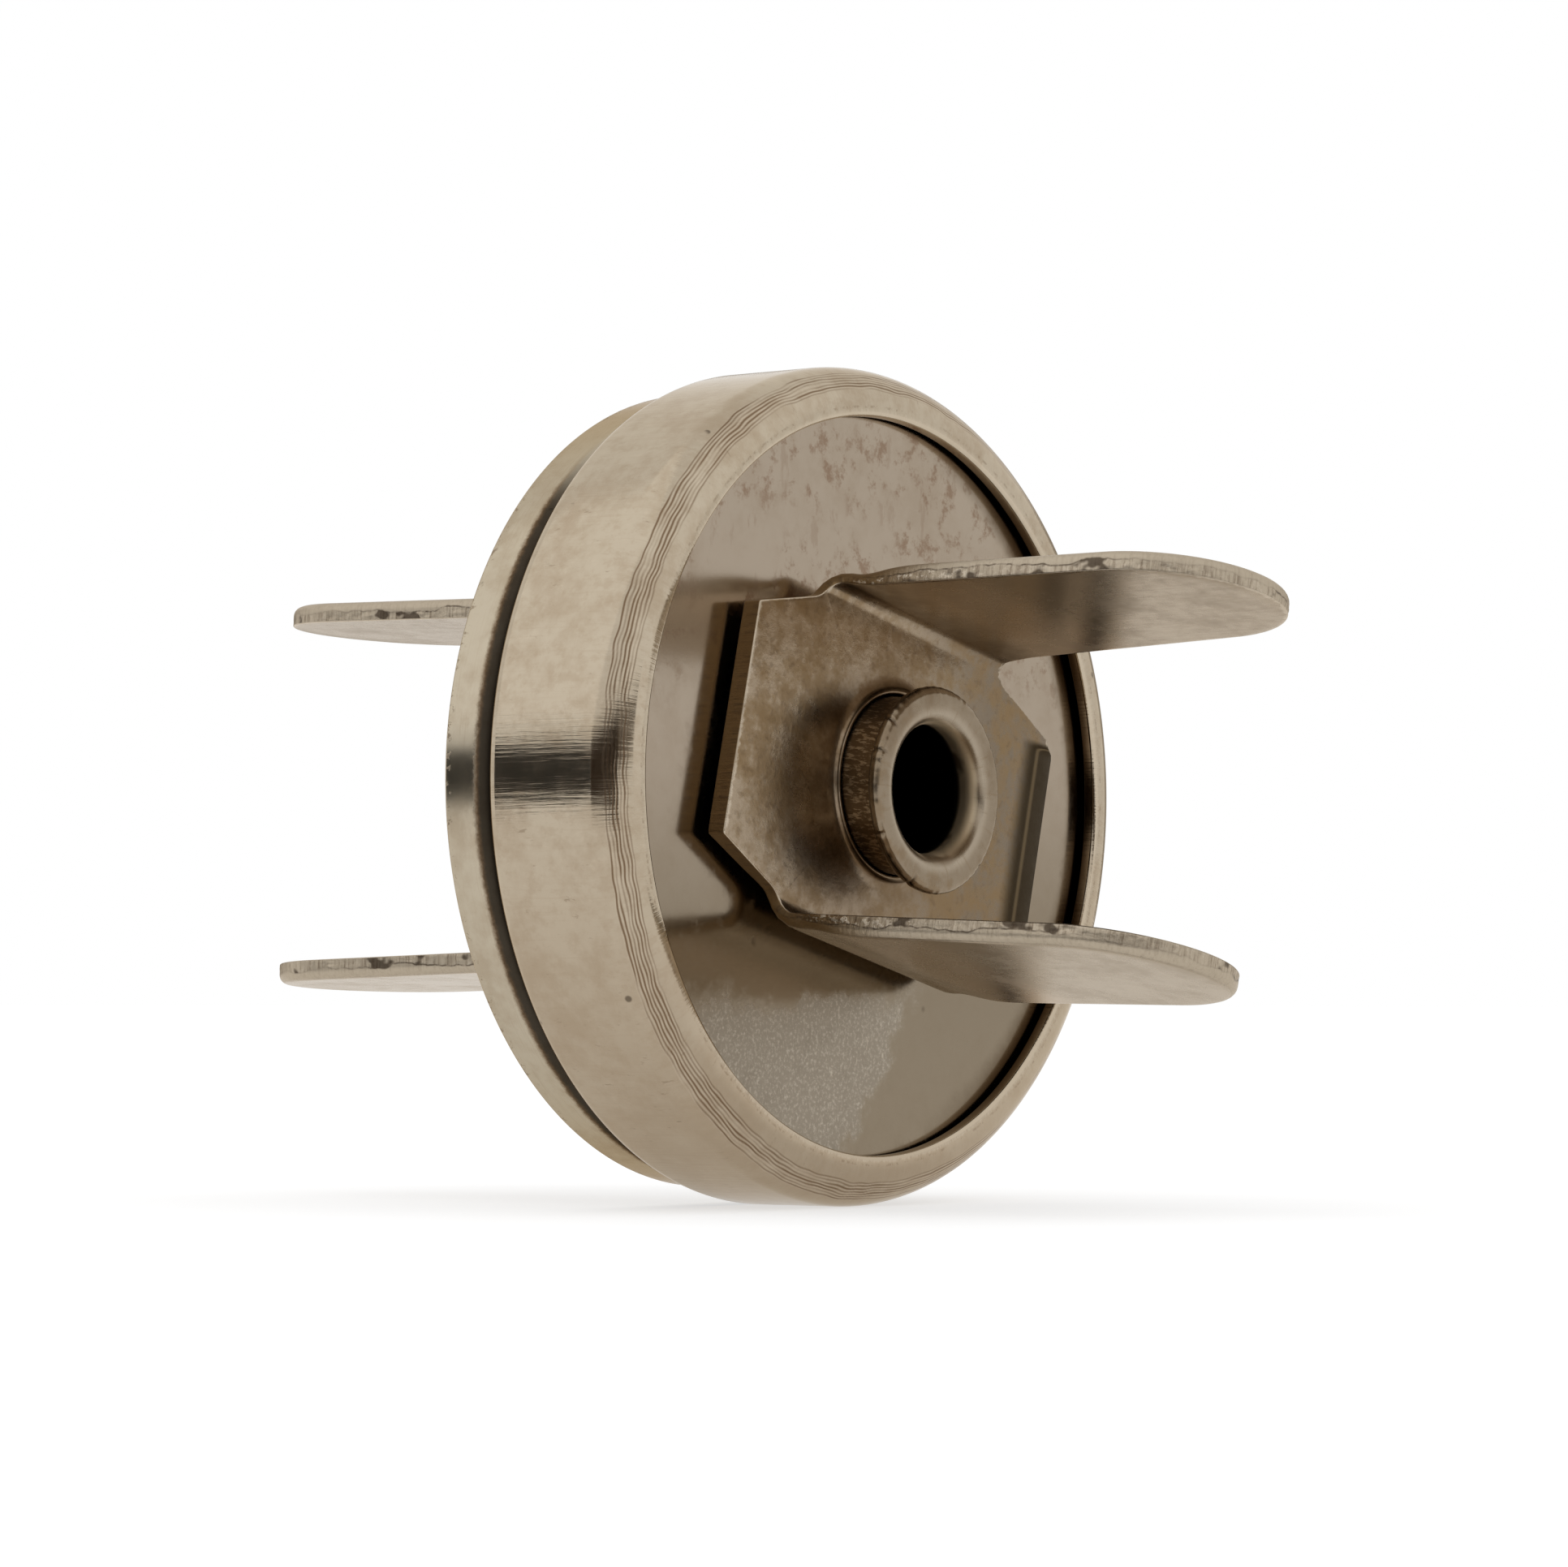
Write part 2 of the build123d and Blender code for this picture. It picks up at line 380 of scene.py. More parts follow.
class Plan:
    """Lays out the nodes of one finish round a metal shader."""

    def __init__(self, name: str) -> None:
        """Starts the material with its shader and output.

        Args:
            name: The material's name.
        """
        self.material, self.tree = fresh_material(name)
        self.shader = self.tree.nodes.new("ShaderNodeBsdfPrincipled")
        end = self.tree.nodes.new("ShaderNodeOutputMaterial")
        self.join(self.shader.outputs["BSDF"], end.inputs["Surface"])

    def join(self, source: Socket, target: Socket) -> None:
        """Links one socket to another."""
        self.tree.links.new(source, target)

    def put(self, value: object, target: Socket) -> None:
        """Sets a socket to a number, or links it to another socket.

        Args:
            value: A number, a colour with its alpha, or a socket.
            target: The socket that takes it.
        """
        if isinstance(value, Socket):
            self.join(value, target)
        else:
            target.default_value = value

    def carried(self, label: str) -> bpy.types.Node:
        """A node that reads what the skin carries under this label.

        Args:
            label: The name that the skin gave the values.

        Returns:
            The node.
        """
        node = self.tree.nodes.new("ShaderNodeAttribute")
        node.attribute_name = label
        return node

    def value(self, label: str) -> Socket:
        """A number that the skin carries under this label."""
        return self.carried(label).outputs["Fac"]

    def places(self, label: str | None, scale: Triple) -> Socket:
        """Coordinates stretched by scale.

        Args:
            label: A vector that the skin carries, or None for object coordinates in metres.
            scale: The stretch along each axis.

        Returns:
            The stretched coordinates.
        """
        if label is None:
            source = self.tree.nodes.new("ShaderNodeTexCoord").outputs["Object"]
        else:
            source = self.carried(label).outputs["Vector"]
        mapping = self.tree.nodes.new("ShaderNodeMapping")
        mapping.inputs["Scale"].default_value = scale
        self.join(source, mapping.inputs["Vector"])
        return mapping.outputs["Vector"]

    def millimetres(self) -> Socket:
        """Object coordinates in millimetres."""
        return self.places(None, (MM_PER_METRE, MM_PER_METRE, MM_PER_METRE))

    def part(self, places: Socket, number: int) -> Socket:
        """One of a place's three numbers.

        Args:
            places: Coordinates.
            number: 0, 1 or 2, for x, y or z.

        Returns:
            The number.
        """
        node = self.tree.nodes.new("ShaderNodeSeparateXYZ")
        self.join(places, node.inputs[0])
        return node.outputs[number]

    def off_axis(self, places: Socket) -> Socket:
        """Distance of a place from the snap's axis."""
        across, rise = self.part(places, 1), self.part(places, 2)
        return self.maths("SQRT", self.plus(self.times(across, across), self.times(rise, rise)))

    def noise(
        self, places: Socket, scale: float, detail: float = 3.0, rough: float = 0.5
    ) -> Socket:
        """Cloudy noise from 0 to 1.

        Args:
            places: Coordinates that it is read at.
            scale: Clouds per unit.
            detail: How many finer layers it has.
            rough: How strong the finer layers are.

        Returns:
            The noise.
        """
        node = self.tree.nodes.new("ShaderNodeTexNoise")
        self.join(places, node.inputs["Vector"])
        for label, number in (("Scale", scale), ("Detail", detail), ("Roughness", rough)):
            node.inputs[label].default_value = number
        return node.outputs[0]

    def grain(
        self, label: str | None, scale: Triple, detail: float = 3.0, rough: float = 0.5
    ) -> Socket:
        """Noise on the coordinates that places gives, with scale its clouds per unit of each."""
        return self.noise(self.places(label, scale), 1.0, detail, rough)

    def cells(self, places: Socket, scale: float) -> Socket:
        """Distance to the nearest of scattered dots, with scale dots per unit.

        Args:
            places: Coordinates that it is read at.
            scale: Dots per unit.

        Returns:
            The distance, 0 at a dot.
        """
        node = self.tree.nodes.new("ShaderNodeTexVoronoi")
        self.join(places, node.inputs["Vector"])
        node.inputs["Scale"].default_value = scale
        return node.outputs["Distance"]

    def band(
        self, value: Socket, low: float, high: float, to_low: float = 0.0, to_high: float = 1.0
    ) -> Socket:
        """Turns a range of values into another, held at its ends.

        Args:
            value: The value that is read.
            low: The value that gives to_low.
            high: The value that gives to_high.
            to_low: Result at low.
            to_high: Result at high.

        Returns:
            The new value.
        """
        node = self.tree.nodes.new("ShaderNodeMapRange")
        node.interpolation_type = "SMOOTHSTEP"
        self.join(value, node.inputs["Value"])
        ends = (("From Min", low), ("From Max", high), ("To Min", to_low), ("To Max", to_high))
        for label, number in ends:
            node.inputs[label].default_value = number
        return node.outputs["Result"]

    def between(self, value: Socket, rising: Pair, falling: Pair) -> Socket:
        """1 between two edges and 0 past them, soft over the two ranges."""
        return self.times(self.band(value, *rising), self.band(value, *falling))

    def frayed(self, value: Socket, noise: Socket, reach: float) -> Socket:
        """A value moved up and down by a noise, by reach at the most."""
        return self.plus(value, self.band(noise, *FRAY, -reach, reach))

    def maths(self, kind: str, first: object, second: object = 0.0) -> Socket:
        """One sum on two numbers or sockets.

        Args:
            kind: Blender's name of the sum.
            first: A number or a socket.
            second: A number or a socket.

        Returns:
            The result.
        """
        node = self.tree.nodes.new("ShaderNodeMath")
        node.operation = kind
        self.put(first, node.inputs[0])
        self.put(second, node.inputs[1])
        return node.outputs[0]

    def times(self, first: object, *others: object) -> Socket:
        """The product of all its numbers.

        Args:
            first: A number or a socket.
            others: The numbers or sockets that multiply it.

        Returns:
            The product.
        """
        for other in others:
            first = self.maths("MULTIPLY", first, other)
        return first

    def plus(self, first: object, *others: object) -> Socket:
        """The sum of all its numbers.

        Args:
            first: A number or a socket.
            others: The numbers or sockets that are added to it.

        Returns:
            The sum.
        """
        for other in others:
            first = self.maths("ADD", first, other)
        return first

    def larger(self, first: object, second: object) -> Socket:
        """The larger of two numbers."""
        return self.maths("MAXIMUM", first, second)

    def blend(self, share: object, first: object, second: object) -> Socket:
        """Mixes two colours.

        Args:
            share: How much of the second colour shows, from 0 to 1.
            first: A colour or a socket.
            second: A colour or a socket.

        Returns:
            The mixed colour.
        """
        node = self.tree.nodes.new("ShaderNodeMix")
        node.data_type = "RGBA"
        self.put(share, node.inputs[0])
        for value, socket in ((first, node.inputs[6]), (second, node.inputs[7])):
            self.put((*value, 1.0) if isinstance(value, tuple) else value, socket)
        return node.outputs[2]

    def layers(self, colour: object, *coats: tuple[object, object]) -> Socket:
        """Lays coats of colour over a first one, in order.

        Args:
            colour: The lowest colour.
            coats: Each coat's share, from 0 to 1, and its colour.

        Returns:
            The colour that shows.
        """
        for share, coat in coats:
            colour = self.blend(share, colour, coat)
        return colour

    def finished(
        self, colour: Socket, rough: Socket | float, *reliefs: tuple[Socket, float]
    ) -> bpy.types.Material:
        """Wires the finish up.

        Args:
            colour: Its colour.
            rough: Its roughness.
            reliefs: The heights of its fine reliefs, from 0 to 1, and what 1 stands for in
                millimetres. Each lies on the one before it.

        Returns:
            The material.
        """
        self.join(colour, self.shader.inputs["Base Color"])
        self.put(rough, self.shader.inputs["Roughness"])
        under = None
        for height, depth in reliefs:
            node = self.tree.nodes.new("ShaderNodeBump")
            node.inputs["Distance"].default_value = depth * METRES_PER_MM
            node.inputs["Strength"].default_value = 1.0
            self.join(height, node.inputs["Height"])
            if under is not None:
                self.join(under, node.inputs["Normal"])
            under = node.outputs["Normal"]
        self.join(under, self.shader.inputs["Normal"])
        return self.material


@dataclass(frozen=True)
class Plating:
    """Satin nickel plating on pressed steel: what all the snap's metal finishes start from."""

    name: str
    colour: Colour
    stain_and_shade: Colour
    grime_and_shade: Colour = (0.050, 0.033, 0.021)
    edge_tint: Colour = (0.92, 0.87, 0.80)
    roughness: float = 0.16
    grain_depth: float = 0.0005
    pit_depth: float = 0.004

    def started(self) -> Plan:
        """Starts a metal whose glancing shine is a little warm.

        Returns:
            The finish's plan.
        """
        plan = Plan(self.name)
        plan.shader.inputs["Metallic"].default_value = 1.0
        plan.shader.inputs["Specular Tint"].default_value = (*self.edge_tint, 1.0)
        return plan

    def clouded(self, plan: Plan, mm: Socket, share: float) -> tuple[Socket, Socket]:
        """Lays faint clouds over the plating.

        Args:
            plan: The finish's plan.
            mm: Coordinates in millimetres.
            share: How far the clouds go towards the stain's colour.

        Returns:
            The clouded colour, and the clouds from 0 to 1.
        """
        wide, close = plan.noise(mm, 0.55, 5.0, 0.62), plan.noise(mm, 2.6, 4.0, 0.6)
        clouds = plan.plus(plan.times(wide, 0.65), plan.times(close, 0.35))
        stained = plan.band(clouds, 0.42, 0.66, 0.0, share)
        return plan.blend(stained, self.colour, self.stain_and_shade), clouds

    def pitted(self, plan: Plan, mm: Socket, spacing: float) -> Socket:
        """Small dark pits, a mean spacing of this many millimetres apart: 1 in a pit, else 0."""
        dots = plan.band(plan.cells(mm, 1.0 / spacing), 0.11, 0.06)
        return plan.times(dots, plan.band(plan.noise(mm, 0.45 / spacing, 1.0), 0.56, 0.60))

    def gloss(self, plan: Plan, clouds: Socket, spread: float, start: float = 0.0) -> Socket:
        """Roughness that follows the clouds, from start to spread over the plating's own."""
        return plan.band(clouds, *CLOUDS, self.roughness + start, self.roughness + spread)


@dataclass(frozen=True)
class CupFinish(Plating):
    """The drawn cup: streaks, brown fold lines in the shoulder, a worn lip, painted shade with
    grimy brown at the foot and under the lip, and painted shade on its lower side.
    """

    line_colour: Colour = (0.150, 0.092, 0.050)
    worn_colour: Colour = (0.520, 0.440, 0.335)
    foot: tuple[Pair, Pair] = ((-4.05, -4.30), (-5.5, -4.7))
    lip_edge: tuple[Pair, Pair] = ((-0.13, -0.06), (0.09, 0.03))
    drawn_depth: float = 0.0030

    def material(self) -> bpy.types.Material:
        """Builds the finish.

        Returns:
            The material.
        """
        plan = self.started()
        mm = plan.millimetres()
        colour, clouds = self.clouded(plan, mm, 0.7)
        mottle = plan.grain("turned", (26.0, 26.0, 2.4), 5.0, 0.68)
        # Painted shade: the lower side is darker and browner, in patches.
        patches = plan.band(plan.noise(mm, 0.5, 4.0, 0.6), 0.25, 0.65, 0.55, 1.0)
        low = plan.times(plan.band(plan.part(mm, 2), 2.0, -9.5, 0.0, 0.8), patches)
        drawn = plan.grain("turned", (120.0, 120.0, 0.55), 3.0, 0.6)
        scuff = plan.grain("turned", (45.0, 45.0, 1.6), 4.0, 0.75)
        pits = self.pitted(plan, mm, 0.9)
        flow = plan.value("flow")
        bundle = plan.band(plan.value("bundle"), 0.0, 1.0, 0.0, 0.5)
        lines = plan.maths("MINIMUM", plan.times(flow, 1.15), 0.92)
        length = plan.part(plan.places("turned", (1.0, 1.0, 1.0)), 2)
        ragged = plan.grain("turned", (90.0, 90.0, 2.0), 4.0, 0.7)
        worn = plan.between(plan.frayed(length, ragged, 0.05), *self.lip_edge)
        dots = plan.band(plan.grain("turned", (38.0, 38.0, 3.0), 4.0, 0.8), 0.50, 0.60)
        dotted = plan.times(plan.between(length, (-0.21, -0.18), (-0.13, -0.16)), dots)
        # Painted shade with grimy brown: in the seam at the foot by the disc, and in the recess
        # under the lip.
        foot = plan.between(plan.frayed(length, ragged, 0.12), *self.foot)
        shade_and_grime = plan.larger(foot, plan.band(length, 0.20, 0.32))
        colour = plan.layers(
            colour,
            (plan.band(mottle, 0.48, 0.66, 0.0, 0.42), self.stain_and_shade),
            (plan.band(mottle, 0.42, 0.30, 0.0, 0.3), self.worn_colour),
            # painted shade on the lower side
            (low, self.stain_and_shade),
            (plan.band(drawn, 0.5, 0.8, 0.0, 0.3), self.stain_and_shade),
            (plan.band(scuff, 0.62, 0.74, 0.0, 0.40), self.line_colour),
            (plan.times(pits, 0.7), self.grime_and_shade),
            (plan.times(bundle, plan.band(mottle, 0.3, 0.6, 1.0, 0.4)), self.worn_colour),
            (lines, self.line_colour),
            (plan.times(worn, 0.55), self.worn_colour),
            (plan.times(dotted, 0.35), self.line_colour),
            # painted shade: the lip's inner wall darkens towards the recess under it, then painted
            # shade with grimy brown at the foot and under the lip
            (plan.band(length, 0.06, 0.22, 0.0, 0.5), self.line_colour),
            (plan.times(shade_and_grime, 0.9), self.grime_and_shade),
        )
        rough = plan.plus(self.gloss(plan, clouds, 0.05, -0.02), plan.times(flow, 0.15))
        return plan.finished(
            colour,
            plan.larger(rough, plan.times(shade_and_grime, 0.4)),
            (drawn, self.drawn_depth),
            (plan.noise(mm, 9.0, 3.0, 0.6), self.grain_depth),
            (pits, -self.pit_depth),
        )


@dataclass(frozen=True)
class BackPlateFinish(Plating):
    """The polished back plate: rust smears above, a frosted scratched patch below with painted
    glints, painted shade under the cup's lip, darker towards the bottom, odd dots.
    """

    rust: Colour = (0.225, 0.150, 0.100)
    glinting_frost: Colour = (0.400, 0.350, 0.282)
    frost_ground: Colour = (0.268, 0.228, 0.176)
    scratch_colour: Colour = (0.52, 0.45, 0.36)
    lip_shade_brown: Colour = (0.085, 0.055, 0.030)
    # The colour that the plate darkens to towards the bottom.
    dull: Colour = (0.196, 0.156, 0.106)
    frost_depth: float = 0.0035

    def material(self) -> bpy.types.Material:
        """Builds the finish.

        Returns:
            The material.
        """
        plan = self.started()
        mm = plan.millimetres()
        across, rise = plan.part(mm, 1), plan.part(mm, 2)
        colour, clouds = self.clouded(plan, mm, 0.6)
        zones = plan.band(plan.noise(mm, 0.5, 2.0), 0.38, 0.52)
        smear = plan.times(plan.band(plan.noise(mm, 1.6, 6.0, 0.76), 0.50, 0.64), zones)
        runs = plan.band(plan.grain(None, (1000.0, 2200.0, 700.0), 4.0, 0.65), 0.60, 0.68)
        smear = plan.larger(smear, plan.times(runs, 0.35))
        ragged = plan.noise(mm, 0.8, 4.0, 0.6)
        top = plan.frayed(rise, ragged, 0.5)
        slant = plan.maths("SUBTRACT", across, plan.times(plan.plus(rise, 4.36), 0.78))
        side = plan.frayed(slant, ragged, 0.5)
        frosted = plan.times(plan.band(top, -4.2, -4.9), plan.band(side, 2.05, 1.55))
        # The frosted patch is real wear; its pale flecks are painted glints.
        sparkle = plan.noise(mm, 12.0, 4.0, 0.8)
        glinting_frost = plan.blend(plan.band(sparkle, 0.48, 0.66), self.frost_ground, self.glinting_frost)
        scratch = plan.band(plan.grain(None, (1000.0, 5000.0, 1500.0), 4.0, 0.75), 0.64, 0.68)
        out = plan.frayed(plan.off_axis(mm), ragged, 0.12)
        # Painted shade: brown on the plate under the cup's lip, on the right side only.
        rim = plan.times(plan.band(out, 7.15, 7.75, 0.0, 0.92), plan.band(across, 1.5, 5.5))
        pits = self.pitted(plan, mm, 1.4)
        colour = plan.layers(
            colour,
            (plan.times(smear, plan.band(rise, 1.0, 3.5), 0.85), self.rust),
            # darker towards the bottom
            (plan.band(rise, 1.5, -4.0, 0.0, 0.8), self.dull),
            # frosted wear with painted glints
            (frosted, glinting_frost),
            # painted shade under the lip
            (rim, self.lip_shade_brown),
            (plan.times(scratch, frosted, 0.5), self.scratch_colour),
            (plan.times(pits, 0.7), self.grime_and_shade),
        )
        matt = plan.plus(plan.times(frosted, 0.24), plan.times(smear, 0.08))
        return plan.finished(
            colour,
            plan.plus(self.gloss(plan, clouds, 0.04), matt),
            (plan.noise(mm, 7.0, 3.0, 0.6), self.grain_depth),
            (plan.times(sparkle, frosted), self.frost_depth),
            (pits, -self.pit_depth),
        )


@dataclass(frozen=True)
class DiscFinish(Plating):
    """The stud half's disc: a speckled rear rim, and painted shade with grimy brown on the edge by
    the cup.
    """

    seam_shade_edge: Colour = (0.120, 0.066, 0.030)
    grit_depth: float = 0.004

    def material(self) -> bpy.types.Material:
        """Builds the finish.

        Returns:
            The material.
        """
        plan = self.started()
        mm = plan.millimetres()
        along = plan.part(mm, 0)
        colour, clouds = self.clouded(plan, mm, 0.7)
        turning = plan.grain("turned", (6.0, 6.0, 22.0), 3.0, 0.6)
        grit = plan.noise(mm, 6.5, 4.0, 0.75)
        ragged = plan.plus(along, plan.band(grit, 0.25, 0.75, -0.03, 0.03))
        # Painted shade with grimy brown in the seam by the cup: near black next to the cup, brown
        # further back.
        seam = plan.times(
            plan.band(ragged, -4.34, -4.18), plan.band(plan.part(mm, 2), 7.4, 5.6)
        )
        near_rim = plan.band(plan.frayed(plan.off_axis(mm), grit, 0.5), 7.6, 8.6, 0.12, 1.0)
        speckle = plan.times(plan.band(along, -4.85, -5.02), plan.band(grit, 0.56, 0.62), near_rim)
        shade_and_grime = plan.larger(seam, plan.times(speckle, 0.6))
        seam_shade_tone = plan.blend(plan.band(ragged, -4.10, -4.26), self.grime_and_shade, self.seam_shade_edge)
        colour = plan.layers(
            colour,
            (plan.band(turning, 0.5, 0.8, 0.0, 0.35), self.stain_and_shade),
            (plan.times(self.pitted(plan, mm, 0.7), 0.7), self.grime_and_shade),
            # painted shade with grimy brown in the seam, and grimy speckles
            (plan.times(shade_and_grime, 0.9), seam_shade_tone),
        )
        return plan.finished(
            colour,
            plan.plus(self.gloss(plan, clouds, 0.06), plan.times(shade_and_grime, 0.35)),
            (turning, self.grain_depth),
            (plan.times(grit, shade_and_grime), self.grit_depth),
        )


@dataclass(frozen=True)
class RivetFinish(Plating):
    """The rolled rivet: a dark tube with drawn bright dashes, and a paler patched flange."""

    tube_colour: Colour = (0.200, 0.140, 0.082)
    throat_colour: Colour = (0.620, 0.500, 0.340)
    mouth_highlight_colour: Colour = (0.460, 0.400, 0.315)
    dash_colour: Colour = (0.540, 0.440, 0.320)
    bore_shade_colour: Colour = (0.006, 0.004, 0.003)
    dash_depth: float = 0.010
    flange_depth: float = 0.0012

    def material(self) -> bpy.types.Material:
        """Builds the finish.

        Returns:
            The material.
        """
        plan = self.started()
        mm = plan.millimetres()
        soil, throat = plan.value("soil"), plan.value("throat")
        colour, clouds = self.clouded(plan, mm, 0.7)
        patch = plan.band(plan.noise(mm, 0.9, 4.0, 0.65), 0.52, 0.62, 0.0, 0.65)
        bristle = plan.grain("turned", (26.0, 26.0, 3.2), 4.0, 0.7)
        zone = plan.noise(mm, 1.1, 2.0)
        lining = plan.blend(plan.band(zone, 0.46, 0.60), self.throat_colour, self.tube_colour)
        dash = plan.times(plan.band(bristle, 0.50, 0.59), plan.band(zone, 0.30, 0.44))
        tube = plan.blend(dash, self.tube_colour, self.dash_colour)
        spokes = plan.grain("turned", (22.0, 22.0, 1.2), 4.0, 0.65)
        flange = plan.value("flange")
        colour = plan.layers(
            colour,
            (patch, self.tube_colour),
            # painted highlight on the rolled end's crest
            (plan.times(plan.value("mouth_highlight"), 0.45), self.mouth_highlight_colour),
            (throat, lining),
            (soil, tube),
            # painted shade deep in the bore
            (plan.value("bore"), self.bore_shade_colour),
            (plan.times(plan.band(spokes, 0.56, 0.66, 0.0, 0.4), flange), self.tube_colour),
            (plan.value("crack"), self.grime_and_shade),
        )
        dull = plan.plus(plan.times(throat, 0.32), plan.times(soil, 0.10))
        return plan.finished(
            colour,
            plan.plus(self.gloss(plan, clouds, 0.08), dull),
            (plan.times(bristle, soil), self.dash_depth),
            (plan.times(spokes, flange), self.flange_depth),
            (plan.noise(mm, 10.0, 3.0, 0.6), self.flange_depth),
        )


@dataclass(frozen=True)
class ProngFinish(Plating):
    """The blanked plate: mottled base, brushed legs, and cut walls with a sheared zone."""

    sheet: float = 0.45
    wall_brown: Colour = (0.120, 0.080, 0.048)
    base_colour: Colour = (0.355, 0.280, 0.198)
    base_dark: Colour = (0.185, 0.146, 0.105)
    base_stain: Colour = (0.215, 0.142, 0.070)
    roll_reflection_dark: Colour = (0.024, 0.014, 0.004)
    roll_reflection_line: Colour = (0.150, 0.105, 0.055)
    bright: Colour = (0.560, 0.485, 0.385)
    pale: Colour = (0.420, 0.355, 0.270)
    worn: Colour = (0.500, 0.400, 0.300)
    cast_depth: float = 0.009
    brush_depth: float = 0.0025
    wall_depth: float = 0.010

    def wall(self, plan: Plan, reach: Socket, depth: Socket) -> tuple[Socket, Socket]:
        """The cut wall: a sheared zone with chips, stains and a burr line, and a rolled zone.

        Args:
            plan: The finish's plan.
            reach: Distance along the blank from its middle.
            depth: Height in the sheet.

        Returns:
            The wall's colour, and the height of its torn relief.
        """
        striated = plan.grain("blank", (13.0, 13.0, 0.9), 4.0, 0.7)
        torn = plan.grain("blank", (4.5, 4.5, 5.0), 4.0, 0.75)
        wavy = plan.band(plan.grain("blank", (0.9, 0.9, 0.0)), 0.3, 0.7, -0.07, 0.07)
        line = plan.plus(depth, wavy)
        sheared = plan.band(line, 0.215, 0.235)
        on_leg = plan.band(reach, 3.7, 4.6)
        chips = plan.times(plan.band(torn, 0.53, 0.58), plan.band(reach, 8.0, 6.0, 0.25, 1.0))
        dark = plan.band(plan.grain("blank", (0.65, 0.65, 1.0), 3.0, 0.6), 0.55, 0.59)
        burr = plan.times(
            plan.between(line, (0.19, 0.215), (0.25, 0.225)),
            plan.band(reach, 8.5, 12.0, 1.0, 0.25),
            plan.band(torn, 0.35, 0.6, 0.15, 0.8),
        )
        stripes = plan.band(striated, 0.44, 0.70, 0.0, 0.65)
        colour = plan.layers(
            plan.blend(plan.band(reach, 4.2, 6.5), self.base_stain, self.pale),
            (plan.times(stripes, plan.band(sheared, 0.0, 1.0, 0.3, 1.0)), self.wall_brown),
            (plan.times(chips, on_leg, sheared), self.bright),
            (plan.times(dark, sheared, on_leg, 0.85), self.grime_and_shade),
            (plan.times(burr, on_leg), self.grime_and_shade),
        )
        return colour, plan.plus(striated, torn)

    def material(self) -> bpy.types.Material:
        """Builds the finish.

        Returns:
            The material.
        """
        plan = self.started()
        mm = plan.places("blank", (1.0, 1.0, 1.0))
        reach, depth = plan.maths("ABSOLUTE", plan.part(mm, 1)), plan.part(mm, 2)
        gap, roll = plan.value("gap"), plan.value("roll")
        colour, clouds = self.clouded(plan, mm, 0.6)
        on_leg = plan.band(reach, 3.6, 4.3)
        on_base = plan.band(on_leg, 1.0, 0.0)
        base = plan.blend(plan.band(plan.part(mm, 0), -1.5, 3.5), self.base_colour, self.base_dark)
        base = plan.blend(plan.band(clouds, 0.44, 0.60, 0.0, 0.8), base, self.base_stain)
        brushed = plan.grain("blank", (11.0, 0.8, 11.0), 4.0, 0.65)
        cast = plan.noise(mm, 4.2, 5.0, 0.7)
        blotch = plan.noise(mm, 1.7, 4.0, 0.65)
        blotched = plan.times(plan.band(blotch, 0.45, 0.62), plan.band(on_leg, 0.0, 1.0, 0.6, 0.1))
        freckled = plan.times(
            plan.band(cast, 0.52, 0.66, 0.0, 0.35), plan.band(on_leg, 1.0, 0.0, 0.4, 1.0)
        )
        rubbed = plan.times(plan.band(reach, 4.2, 5.2, 0.0, 0.75), plan.band(reach, 7.6, 6.4))
        # Painted shade and brown staining round the rivet's foot, in the bends' inner corners and
        # below the rivet.
        corner_shade_and_soil = plan.times(plan.value("stain_and_shade"), plan.band(blotch, 0.3, 0.65, 0.7, 1.0))
        rim = plan.frayed(gap, plan.noise(mm, 5.5, 4.0, 0.7), 0.07)
        walled = plan.between(depth, (0.012, 0.03), (self.sheet - 0.012, self.sheet - 0.03))
        walled = plan.times(walled, plan.band(gap, 0.3, 0.2))
        wall, torn = self.wall(plan, reach, depth)
        # Painted reflection on the rolled side: a dark band with a golden-brown line in it.
        line = plan.times(plan.between(roll, (0.52, 0.58), (0.66, 0.60)), 0.6)
        colour = plan.layers(
            colour,
            (on_base, base),
            (blotched, self.base_stain),
            (freckled, self.wall_brown),
            (plan.times(plan.band(cast, 0.40, 0.30, 0.0, 0.5), on_base), self.stain_and_shade),
            (plan.times(plan.band(brushed, 0.45, 0.7, 0.0, 0.5), on_leg), self.stain_and_shade),
            # Painted light: the back skin is paler, so that its reflection in the back plate is
            # brighter.
            (plan.band(depth, 0.06, 0.02, 0.0, 0.6), self.pale),
            (rubbed, self.worn),
            # painted shade and brown staining
            (corner_shade_and_soil, self.wall_brown),
            (plan.band(rim, 0.10, 0.02, 0.0, 0.55), self.bright),
            (walled, wall),
            # painted reflection on the rolled side
            (plan.band(roll, 0.05, 0.5), self.roll_reflection_dark),
            (line, self.roll_reflection_line),
        )
        dull = plan.plus(
            plan.times(plan.larger(walled, corner_shade_and_soil), 0.10), plan.band(roll, 0.0, 0.5, 0.0, 0.20)
        )
        return plan.finished(
            colour,
            plan.plus(self.gloss(plan, clouds, 0.10), dull),
            (plan.times(cast, on_base), self.cast_depth),
            (plan.times(brushed, on_leg), self.brush_depth),
            (plan.times(torn, walled), self.wall_depth),
        )


